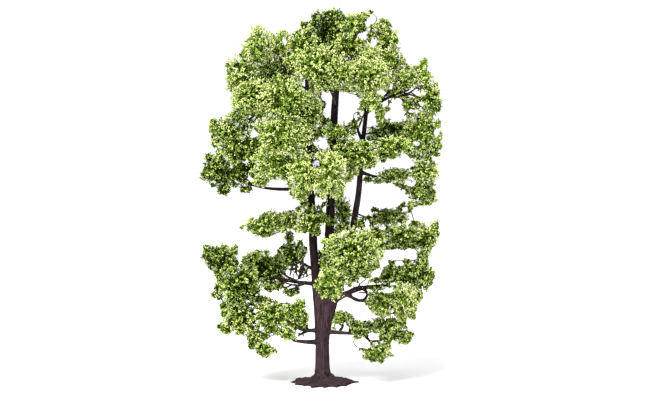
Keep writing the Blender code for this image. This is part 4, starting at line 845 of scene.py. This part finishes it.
def tubes(paths, radii, sides, curled=False):
    """Closed tapering tubes along many paths of equal length, as points and triangles. The rings
    of a curled path turn with it; such a path lies mostly square to the Y axis."""
    if curled:
        ways = unit(np.gradient(paths, axis=1))
        first = unit(np.cross(ways, [0.0, 1.0, 0.0]))
        second = np.cross(ways, first)
    else:
        first, second = side_ways(unit(paths[:, -1:] - paths[:, :1]))
    turns = 2 * math.pi * np.arange(sides) / sides
    ring = (np.cos(turns)[:, None] * first[:, :, None] + np.sin(turns)[:, None] * second[:, :, None])
    return skins(paths[:, :, None, :] + radii[:, :, None, None] * ring)


# ---------------------------------------------------------------- limbs

def trunk_size(size, heights):
    """One of the sizes in the trunk's table, at any heights."""
    return np.interp(heights, [ring.z for ring in TRUNK], [getattr(ring, size) for ring in TRUNK])


def trunk_axis(share):
    """Middle of the trunk at a share of its height."""
    z = share * TRUNK_TOP
    return Vector((trunk_size("x", z), 0, z))


def limb_point(name, share):
    """A point on a limb's middle line, which is a parabola through its bow."""
    if name == "trunk":
        return trunk_axis(share)
    limb = LIMBS[name]
    start = limb_point(limb.parent, limb.at) + Vector((limb.foot, 0, 0))
    straight = start.lerp(Vector(limb.tip), share)
    lean = Vector((limb.sway * math.sin(2 * math.pi * share), 0, 0))
    return straight + lean + Vector(limb.bow) * (4 * share * (1 - share))


def limb_radius(name, share):
    """Radius of a limb at a share of its length."""
    limb = LIMBS[name]
    return (limb.end + (limb.base - limb.end) * (1 - share ** TAPER)) / 2


def limb_path(name):
    """Points and radii along a limb, with the small kinks and the collar of the moulding."""
    length = (limb_point(name, 1.0) - limb_point(name, 0.0)).length
    shares = np.linspace(0.0, 1.0, max(LIMB_LEVELS, round(length / LIMB_STEP)))
    points = np.array([limb_point(name, share) for share in shares])
    radii = np.array([limb_radius(name, share) for share in shares])
    first, second = side_ways(unit(points[-1] - points[0]))
    turn = sum(name.encode())
    kink = KINK * np.sin(math.pi * shares) * min(1.0, length / KINK_FULL)
    points += (kink * np.sin(shares * length / KINK_LENGTHS[0] + turn))[:, None] * first
    points += (kink * np.sin(shares * length / KINK_LENGTHS[1] + 2 * turn))[:, None] * second
    flare = 0.0 if LIMBS[name].base > STEM_BASE else COLLAR
    collar = 1 + flare * np.exp(-shares * length / (COLLAR_LENGTH * LIMBS[name].base))
    return points, radii * collar


def trunk_skin():
    """The trunk's rings, lofted finely from its table."""
    heights = np.linspace(TRUNK[0].z, TRUNK[-1].z, TRUNK_LEVELS)
    angles = 2 * math.pi * np.arange(TRUNK_SIDES) / TRUNK_SIDES
    middle, half_x, half_y, flute = (trunk_size(size, heights)[:, None]
                                     for size in ("x", "half_x", "half_y", "flute"))
    swell = 1 + flute * ROOT_SWELL * np.cos(ROOTS * angles + 0.5)
    points = np.stack([middle + half_x * swell * np.cos(angles), half_y * swell * np.sin(angles),
                       np.repeat(heights[:, None], TRUNK_SIDES, axis=1)], -1)
    return skins(points[None])


def melted(made):
    """Join an object's overlapping bodies into one skin on a fine grid."""
    remesh = made.modifiers.new("melt", "REMESH")
    remesh.mode = "VOXEL"
    remesh.voxel_size = SKIN_VOXEL * MM
    bpy.context.view_layer.update()
    graph = bpy.context.evaluated_depsgraph_get()
    mesh = bpy.data.meshes.new_from_object(made.evaluated_get(graph))
    made.modifiers.clear()
    made.data = mesh
    return mesh


def write_points(mesh, points):
    """Move a mesh's points to places in mm."""
    mesh.vertices.foreach_set("co", (points * MM).astype(np.float32).ravel())
    mesh.update()


def add_bark_marks(mesh, paint_lightness, fibres):
    """What the brown plastic's paint goes by: how light each point is, from how high it stands and from
    painted shade, and its place in the fibres."""
    height = mesh.attributes.new("paint_lightness", "FLOAT", "POINT")
    height.data.foreach_set("value", paint_lightness.astype(np.float32).ravel())
    place = mesh.attributes.new("fibre", "FLOAT_VECTOR", "POINT")
    place.data.foreach_set("vector", fibres.astype(np.float32).ravel())


def noise_at(places, scale=1.0):
    """Smooth noise at each of an array of places."""
    return np.array([noise.noise(Vector(place) * scale) for place in places])


def read_points(mesh, name="co"):
    """A mesh's places, or another of its vectors, as an array."""
    values = np.zeros(len(mesh.vertices) * 3, np.float32)
    mesh.vertices.foreach_get(name, values)
    return values.reshape(-1, 3).astype(float)


def smoothed(mesh, values, times):
    """Values at a mesh's points, evened out along its edges."""
    edges = np.zeros(len(mesh.edges) * 2, np.int32)
    mesh.edges.foreach_get("vertices", edges)
    a, b = edges.reshape(-1, 2).T
    degree = np.bincount(edges, minlength=len(values))[:, None]
    flat = values.reshape(len(values), -1)
    for _ in range(times):
        total = np.stack([np.bincount(a, flat[b, k], len(flat)) + np.bincount(b, flat[a, k], len(flat))
                          for k in range(flat.shape[1])], -1)
        flat = (flat + total / degree) / 2
    return flat.reshape(values.shape)


def nearest_limb(points, samples):
    """For each point the index of the nearest of the samples along the limbs."""
    best = np.zeros(len(points), int)
    for start in range(0, len(points), NEAREST_BLOCK):
        block = points[start:start + NEAREST_BLOCK]
        gaps = ((block[:, None, :] - samples[None, :, :]) ** 2).sum(-1)
        best[start:start + NEAREST_BLOCK] = gaps.argmin(1)
    return best


def limb_samples():
    """Middles, directions and radii all along the trunk and the limbs."""
    middles, ways, radii = [], [], []
    for z in np.arange(0.0, TRUNK_TOP, 1.0):
        middles.append(trunk_axis(z / TRUNK_TOP))
        ways.append((0, 0, 1))
        radii.append(trunk_size("half_y", z))
    for name in LIMBS:
        points, sizes = limb_path(name)
        middles.extend(points)
        ways.extend(unit(np.gradient(points, axis=0)))
        radii.extend(sizes)
    return np.array(middles), np.array(ways), np.array(radii)


def fibre_places(points, ways):
    """Where points lie in the bark's fibres: drawn out along the limb that they are on."""
    along = (points * ways).sum(1, keepdims=True)
    across = points - along * ways
    return across / FURROW_WIDTH + ways * along / FURROW_LENGTH


def make_bark(samples):
    """Trunk, stems and boughs as one moulded skin with fine furrows along every limb."""
    parts = [trunk_skin()]
    for name in LIMBS:
        points, radii = limb_path(name)
        parts.append(tubes(points[None], radii[None], LIMB_SIDES))
    made = mesh_object("trunk_and_limbs", *joined(parts), [])
    mesh = melted(made)
    points = smoothed(mesh, read_points(mesh) / MM, SKIN_SMOOTHING)
    write_points(mesh, points)
    normals = read_points(mesh, "normal")
    middles, ways, radii = samples
    nearest = nearest_limb(points, middles)
    fibres = fibre_places(points, ways[nearest])
    height = np.minimum(1.0, np.abs(noise_at(fibres)) * FURROW_EDGE)
    grain = noise_at(fibres, GRAIN_SCALE)
    thick = np.clip(radii[nearest] / FULL_RELIEF, 0.15, 1.0)
    crumbs = noise_at(points, 1 / CRUMB_SIZE) * CRUMB_DEPTH
    crumbs *= np.clip((CRUMB_TOP - points[:, 2]) / CRUMB_FADE, 0, 1)
    relief = thick * (FURROW_DEPTH * (height - FURROW_LEVEL) + GRAIN_DEPTH * grain)
    write_points(mesh, points + normals * (SKIN_SWELL + relief + crumbs)[:, None])
    # Painted shade: the bark darkens above the fork, except on a stretch of painted light on the right
    # stem.
    painted_shade = CROWN_PAINTED_SHADE * np.clip((points[:, 2] - TRUNK_TOP) / CROWN_PAINTED_SHADE_RISE, 0, 1)
    low, high = PAINTED_LIGHT_HEIGHTS
    painted_light = (points[:, 0] > PAINTED_LIGHT_SIDE) & (points[:, 2] > low) & (points[:, 2] < high)
    painted_shade[painted_light] *= PAINTED_LIGHT_SHARE
    on_plates, on_grain, on_crumbs = BARK_PAINT
    paint_lightness = np.clip(on_plates * height + on_grain * grain + on_crumbs * crumbs, 0, 1) - painted_shade
    add_bark_marks(mesh, paint_lightness, fibres)
    mesh.materials.append(moulded_brown_plastic())
    mesh.shade_smooth()
    return made


def eased(points, steps):
    """A smooth line through points: each stretch is a Catmull-Rom curve."""
    points = np.array(points, float)
    ends = np.concatenate([[2 * points[0] - points[1]], points, [2 * points[-1] - points[-2]]])
    line = []
    for a, b, c, d in zip(ends, ends[1:], ends[2:], ends[3:]):
        for share in np.arange(steps) / steps:
            line.append(b + 0.5 * share * (c - a + share * (2 * a - 5 * b + 4 * c - d
                                                             + share * (3 * (b - c) + d - a))))
    return np.array(line + [points[-1]])


def make_bare_twigs():
    """The forked twigs that show between the clouds, and the few flakes that cling to them."""
    rng = np.random.default_rng(SEED)
    parts = []
    growth = Growth()
    for twig in TWIGS:
        line = eased(twig.points, BARE_STEPS)
        line[1:-1] += rng.normal(0, BARE_WAVER, line[1:-1].shape)
        radii = np.linspace(twig.base, twig.end, len(line)) / 2
        parts.append(tubes(line[None], radii[None], BARE_SIDES, curled=True))
        spots = line[rng.random(len(line)) < CLING_SHARE]
        if len(spots):
            strays = spots + rng.normal(0, CLING_STRAY, spots.shape)
            lie = unit(rng.normal(0, 1, spots.shape))
            lengths = rng.uniform(*CLING_LENGTHS, len(spots))
            growth.add_flakes(strays, lie, lengths, rng.uniform(*CLING_TONES, len(spots)), rng)
    made = mesh_object("bare_twigs", *joined(parts), [bpy.data.materials["drawn_brown_plastic"]])
    made.data.shade_smooth()
    place(made, list(LIMBS), "bark")
    foam = [bpy.data.materials[f"ground_foam_{shade}"] for shade in FOAM_SHADES]
    chips = mesh_object("flakes_on_bare_twigs", *joined(growth.chips), foam, np.concatenate(growth.shades))
    place(chips, list(LIMBS), "foliage")


# ---------------------------------------------------------------- root disc

def disc_rim(angle):
    """The ragged rim's radius: uneven points, as root ends cut off by the mould."""
    waves = (size * np.cos(count * angle + phase) for count, phase, size in DISC_WAVES)
    return DISC_RADIUS * sum(waves, start=1)


def make_disc():
    """The root disc: flat below, with knotted roots that run out to a torn rim."""
    angles = 2 * math.pi * np.arange(DISC_SPOKES) / DISC_SPOKES
    shares = np.linspace(DISC_START, 1.0, DISC_STEPS)[::-1, None]
    bend, outward, around = DISC_WANDER
    wander = angles + bend * np.sin(shares * outward + around * angles)
    roots = sum(strength * np.cos(count * wander + phase)
                for strength, (count, phase, _) in zip(DISC_ROOTS, DISC_WAVES))
    (wide, phase), (narrow, twist) = DISC_RIBS
    ribs = 0.5 * np.cos(wide * wander + phase) + 0.5 * np.cos(narrow * wander + twist * shares)
    round_rim = np.stack([np.cos(angles), np.sin(angles), 0 * angles], -1) * TORN_DETAIL
    torn = noise_at(round_rim + [0, 0, 0.3])
    count, phase, _ = DISC_WAVES[-1]
    spikes = np.maximum(0, np.cos(count * angles + phase)) ** 4 + torn
    rim = disc_rim(angles) + SPIKE_LENGTH * spikes - RIM_TRIM
    radius = shares * rim
    x, y = radius * np.cos(angles), radius * np.sin(angles)
    y = y * np.where(y < 0, *DISC_DEPTHS)
    spread = (np.clip((radius - RELIEF_START) / RELIEF_RISE, 0, 1)
              * np.clip((RELIEF_END - shares) / RELIEF_FADE, 0, 1))
    height = np.interp(radius, [0, DISC_HUB_RADIUS, DISC_SEAT_RADIUS, DISC_RADIUS * 1.1],
                       [*DISC_HUB_HEIGHTS, DISC_SEAT, DISC_RIM * 0.5])
    places = np.stack([x, y, 0 * x], -1).reshape(-1, 3)
    clods = noise_at(places, CLOD_SCALE).reshape(x.shape)
    pits = noise_at(places, PIT_SCALE).reshape(x.shape)
    height = (height + spread * (ROOT_HEIGHT * roots + RIB_HEIGHT * ribs) + CLOD_HEIGHT * clods
              + PIT_DEPTH * pits)
    height = np.clip(height, DISC_THINNEST, None)
    top = np.stack([x, y, height], -1)
    foot = np.stack([x[0] * DISC_FOOT, y[0] * DISC_FOOT, 0 * angles], -1)
    rings = np.concatenate([foot[None], top])
    made = mesh_object("root_disc_skin", *skins(rings[None]), [])
    plain, on_roots, on_ribs, on_pits = DISC_PAINT
    paint_lightness = plain + on_roots * roots + on_ribs * ribs * spread + on_pits * pits
    add_bark_marks(made.data, np.clip(np.concatenate([0 * angles[None], paint_lightness]), 0, 1), rings)
    made.data.materials.append(bpy.data.materials["moulded_brown_plastic"])
    made.data.shade_smooth()
    return made


# ---------------------------------------------------------------- twigs and flakes

def seen_from_front(points):
    """Where points appear from the front, measured in the plane of the trunk."""
    depth = (points[:, 1] - EYE[1]) / -EYE[1]
    return (EYE[0] + (points[:, 0] - EYE[0]) / depth, EYE[2] + (points[:, 2] - EYE[2]) / depth)


def in_opening(points):
    """Which points lie in one of the gaps through the crown."""
    x, z = seen_from_front(points)
    inside = np.zeros(len(points), bool)
    for gap in OPENINGS:
        share = ((x - gap.x) / gap.half_x) ** 2 + ((z - gap.z) / gap.half_z) ** 2
        for k in np.flatnonzero(share < 2):
            ragged = 1 + RAGGED * noise.noise(Vector((x[k], z[k], gap.x)) / RAGGED_SIZE)
            inside[k] |= share[k] < ragged
    return inside


def bent_paths(starts, ends, bends, levels):
    """Curved paths from starts to ends, (count, levels, 3), bowed by the bends."""
    shares = np.linspace(0, 1, levels)[None, :, None]
    return (starts[:, None] * (1 - shares) + ends[:, None] * shares
            + 4 * shares * (1 - shares) * bends[:, None])


def spread_ways(count, rng):
    """Directions spread evenly over a sphere, as unit vectors, with a little disorder."""
    k = np.arange(count)
    z = 1 - 2 * (k + 0.5) / count
    angle = rng.uniform(0, 2 * math.pi) + k * math.pi * (3 - math.sqrt(5))
    ring = np.sqrt(1 - z * z)
    ways = np.stack([ring * np.cos(angle), ring * np.sin(angle), z], -1)
    return unit(ways + rng.normal(0, DISORDER, ways.shape))


def flake_chips(middles, along, lengths, rng):
    """Ground foam chips: flat splinters, uneven in outline and thickness."""
    count = len(middles)
    first, second = side_ways(along)
    roll = rng.uniform(0, 2 * math.pi, (count, 1))
    across = np.cos(roll) * first + np.sin(roll) * second
    flat = np.cross(along, across)
    widths = lengths * rng.uniform(*FLAKE_WIDTHS, count)
    turns = np.arange(FLAKE_CORNERS) + rng.uniform(-FLAKE_TURN, FLAKE_TURN, (count, FLAKE_CORNERS))
    turns = (2 * math.pi * turns / FLAKE_CORNERS)[..., None]
    radius = rng.uniform(*FLAKE_RADII, (count, FLAKE_CORNERS, 1)) / 2
    thick = lengths[:, None] * FLAKE_THICK
    wave = rng.uniform(-FLAKE_WARP, FLAKE_WARP, (count, FLAKE_CORNERS, 1)) * thick[:, None]
    outline = (middles[:, None] + np.cos(turns) * radius * lengths[:, None, None] * along[:, None]
               + np.sin(turns) * radius * widths[:, None, None] * across[:, None]
               + wave * flat[:, None])
    half = thick * rng.uniform(*FLAKE_THICKNESSES, (count, 1)) / 2
    shift = rng.uniform(-FLAKE_PEAK, FLAKE_PEAK, (count, 1)) * lengths[:, None] * along
    peaks = np.stack([middles + flat * half + shift, middles - flat * half + shift], 1)
    points = np.concatenate([outline, peaks], 1).reshape(-1, 3)
    corner = np.arange(FLAKE_CORNERS)
    after = (corner + 1) % FLAKE_CORNERS
    over = np.stack([corner, after, np.full_like(corner, FLAKE_CORNERS)], -1)
    under = np.stack([after, corner, np.full_like(corner, FLAKE_CORNERS + 1)], -1)
    faces = np.concatenate([over, under])[None] + (FLAKE_CORNERS + 2) * np.arange(count)[:, None, None]
    return points, faces.reshape(-1, 3)


class Growth:
    """What grows in one region: tubes of twig and chips of foam with their shades."""

    def __init__(self):
        self.twigs = []
        self.chips = []
        self.shades = []

    def add_twigs(self, paths, start, end):
        """Three-sided twigs along paths, tapering from one radius to another."""
        radii = np.linspace(start, end, paths.shape[1])[None].repeat(len(paths), 0)
        self.twigs.append(tubes(paths, radii, TWIG_SIDES))

    def add_flakes(self, middles, along, lengths, levels, rng):
        """Chips of foam, each with its place in the range of shades, from -1 to 1."""
        self.chips.append(flake_chips(middles, along, lengths, rng))
        shade = np.clip(((levels + 1) / 2 * len(FOAM_SHADES)).astype(int), 0, len(FOAM_SHADES) - 1)
        self.shades.append(shade.repeat(2 * FLAKE_CORNERS))


def path_round_gaps(start, end, rng):
    """A path from start to end, bowed as little as keeps it out of the gaps."""
    best, fewest = None, STEM_STEPS + 1
    for bow in STEM_BOWS:
        bend = rng.normal(0, bow, 3) * np.linalg.norm(end - start)
        path = bent_paths(start[None], end[None], bend[None], STEM_STEPS)
        crossing = in_opening(path[0]).sum()
        if crossing < fewest:
            best, fewest = path, crossing
    return best


def cloud_stems(cloud, pads, growth, rng):
    """The cloud's stem to its first pad, and a branch from there to each of the others."""
    start = np.array(limb_point(cloud.limb, cloud.at))
    hubs = [pad.middle for pad in pads]
    ends = [(start, hubs[0], TWIG_STEM, TWIG_BRANCH)]
    reached = [hubs[0]]
    for hub in hubs[1:]:
        nearest = min(reached, key=lambda point: np.linalg.norm(point - hub))
        ends.append((nearest, hub, TWIG_BRANCH, BRANCH_TIP))
        reached.append(hub)
    for begin, end, thick, thin in ends:
        growth.add_twigs(path_round_gaps(begin, end, rng), thick, thin)


def lumpy_reach(pad, ways):
    """How far a pad reaches in each direction, against its half sizes: lumps and hollows."""
    lumps = noise_at((pad.middle + ways * pad.half) / LUMP_SIZE)[:, None]
    return np.minimum(LUMP_MEAN + LUMP_DEPTH * lumps, FURTHEST)


def buried(points, own):
    """Which points lie deep inside a pad other than their own, where nothing shows."""
    deep = np.zeros(len(points), bool)
    for pad in ALL_PADS:
        if pad is not own:
            deep |= (((points - pad.middle) / pad.half) ** 2).sum(-1) < BURIED ** 2
    return deep


def clear_of_limbs(points, samples):
    """Which points keep off the bark of every limb."""
    centres, _, radii = samples
    nearest = nearest_limb(points, centres)
    return np.linalg.norm(points - centres[nearest], axis=1) - radii[nearest] > LIMB_CLEAR


def grow_pad(pad, tone, growth, samples, rng):
    """One pad: main twigs from its middle, fingers that fan from them to the pad's lumpy edge,
    flakes all along the fingers, and larger dark flakes in the shade within."""
    hub_count = max(3, round(pad.surface / HUB_AREA))
    hub_ways = spread_ways(hub_count, rng)
    hubs = pad.middle + hub_ways * pad.half * rng.uniform(*HUB_REACH, (hub_count, 1))
    middles = np.repeat(pad.middle[None], hub_count, 0)
    kept = ~in_opening(hubs)
    growth.add_twigs(bent_paths(middles, hubs, rng.normal(0, HUB_WAVER, hubs.shape), 3)[kept],
                     TWIG_FINE, TWIG_TIP)

    count = round(pad.surface / FINGER_AREA)
    ways = spread_ways(count, rng)
    inward = rng.random((count, 1)) ** FINGER_SHORTENING
    tips = pad.middle + ways * pad.half * (lumpy_reach(pad, ways) - SHELL_DEPTH * inward)
    kept = ~in_opening(tips) & ~buried(tips, pad)
    ways, inward, tips = ways[kept], inward[kept], tips[kept]
    owner = (ways @ hub_ways.T).argmax(1)
    roots = hubs[owner]
    length = np.linalg.norm(tips - roots, axis=1, keepdims=True)
    bends = rng.normal(0, FINGER_BEND, tips.shape) * length
    bends[:, 2] += FINGER_LIFT
    clear = ~in_opening((roots + tips) / 2 + bends)
    growth.add_twigs(bent_paths(roots, tips, bends, 2)[clear], TWIG_TIP, FINGER_TIP)

    back = np.linspace(0.0, 1.0, FLAKES_ON_FINGER)[None] * np.minimum(FINGER_COAT, length) / length
    shares = (1 - back)[..., None]
    spots = (roots[:, None] * (1 - shares) + tips[:, None] * shares
             + 4 * shares * (1 - shares) * bends[:, None]).reshape(-1, 3)
    finger = np.arange(len(tips)).repeat(FLAKES_ON_FINGER)
    outer = np.tile(np.linspace(1.0, 0.0, FLAKES_ON_FINGER), len(tips))
    spots = spots + rng.normal(0, FLAKE_STRAY, spots.shape)
    lie = unit(unit(tips - roots)[finger] + rng.normal(0, FLAKE_SPLAY, spots.shape))
    kept = clear_of_limbs(spots, samples) & ~in_opening(spots)
    spots, lie, finger, outer = spots[kept], lie[kept], finger[kept], outer[kept]
    hub_tone = rng.normal(0, TWIG_TONE, hub_count)
    # Painted light and shade: flakes on top and towards a finger's tip paler, those on short fingers deep
    # in the pad darker.
    finger_tone = rng.normal(0, TWIG_TONE, len(tips)) + PAINTED_LIGHT_ON_TOP * ways[:, 2] - PAINTED_SHADE_WITHIN * inward[:, 0]
    levels = (tone + hub_tone[owner[finger]] + finger_tone[finger] + PAINTED_LIGHT_AT_TIP * (outer - PAINTED_LIGHT_TURN)
              + rng.normal(TONE_MEAN, FLAKE_TONE, len(spots)))
    growth.add_flakes(spots, lie, rng.uniform(*FLAKE_LENGTHS, len(spots)), levels, rng)

    # Painted shade: large flakes deep in the pad, in the darkest shades.
    count = round(pad.surface / SHADE_AREA)
    inner = rng.uniform(*SHADE_REACH, (count, 1))
    spots = pad.middle + spread_ways(count, rng) * pad.half * inner
    kept = clear_of_limbs(spots, samples) & ~in_opening(spots) & ~buried(spots, pad)
    spots = spots[kept]
    lie = unit(rng.normal(0, 1, spots.shape))
    sizes = rng.uniform(*SHADE_LENGTHS, len(spots))
    growth.add_flakes(spots, lie, sizes, SHADE_FOLLOW * tone + rng.uniform(*SHADE_TONES, len(spots)),
                      rng)


def make_foliage(samples):
    """Grow every cloud, and join flakes and twigs into one piece of each for each region."""
    foam = [foam_flake(shade, code) for shade, code in FOAM_SHADES.items()]
    twig = twig_plastic()
    order = list(CLOUDS)
    for region, names in REGIONS.items():
        growth = Growth()
        for name in names:
            rng = np.random.default_rng(SEED + order.index(name))
            tufts = TUFTS.get(name, ())
            cloud_stems(CLOUDS[name], CLOUDS[name].pads + tufts, growth, rng)
            for pad in CLOUDS[name].pads + tufts:
                grow_pad(pad, TONES.get(name, 0.0), growth, samples, rng)
        chips = mesh_object(f"flakes_{region}", *joined(growth.chips), foam,
                            np.concatenate(growth.shades))
        twigs = mesh_object(f"twigs_{region}", *joined(growth.twigs), [twig])
        twigs.data.shade_smooth()
        place(chips, names, "foliage")
        place(twigs, names, "bark")


# ---------------------------------------------------------------- the scene

def place(piece, nodes, slot):
    """Let a piece ride on the tree's one body and stand for solids, whose parts it hides; the slot is not
    used.
    """
    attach(piece, "root")
    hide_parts(*nodes)


def make_stage():
    """A white paper floor, a big soft light above, in front and to the left, and a white surround."""
    points = np.array([(-1, -1, 0), (1, -1, 0), (1, 1, 0), (-1, 1, 0)]) * PAPER_HALF
    floor = mesh_object("paper_floor", points, np.array([(0, 1, 2), (0, 2, 3)]), [white_paper()])

    light = bpy.data.lights.new("overhead_softbox", "AREA")
    light.shape = "DISK"
    light.size = SOFTBOX_SIZE
    light.energy = SOFTBOX_POWER
    lamp = bpy.data.objects.new("overhead_softbox", light)
    lamp.location = SOFTBOX_PLACE
    lamp.rotation_euler = (Vector(SOFTBOX_AIM) - lamp.location).to_track_quat("-Z", "Y").to_euler()
    bpy.context.scene.collection.objects.link(lamp)

    world = bpy.data.worlds.new("white_surround")
    world.use_nodes = True
    world.node_tree.nodes["Background"].inputs["Color"].default_value = (1, 1, 1, 1)
    world.node_tree.nodes["Background"].inputs["Strength"].default_value = SURROUND
    bpy.context.scene.world = world
    bpy.context.scene.view_settings.view_transform = "Standard"


def make_camera():
    """A camera a metre in front, as high as the crown, tilted slightly down."""
    camera = bpy.data.cameras.new("camera")
    camera.lens = EYE_LENS
    camera.sensor_width = EYE_SENSOR
    camera.clip_start = 0.01
    made = bpy.data.objects.new("camera", camera)
    made.location = Vector(EYE) * MM
    made.rotation_euler = (math.radians(90 - EYE_TILT), 0, 0)
    bpy.context.scene.collection.objects.link(made)
    bpy.context.scene.camera = made


make_camera()
make_stage()
limbs_taken = limb_samples()
place(make_bark(limbs_taken), ["trunk", *LIMBS], "bark")
place(make_disc(), ["root_disc"], "root_disc")
make_foliage(limbs_taken)
make_bare_twigs()
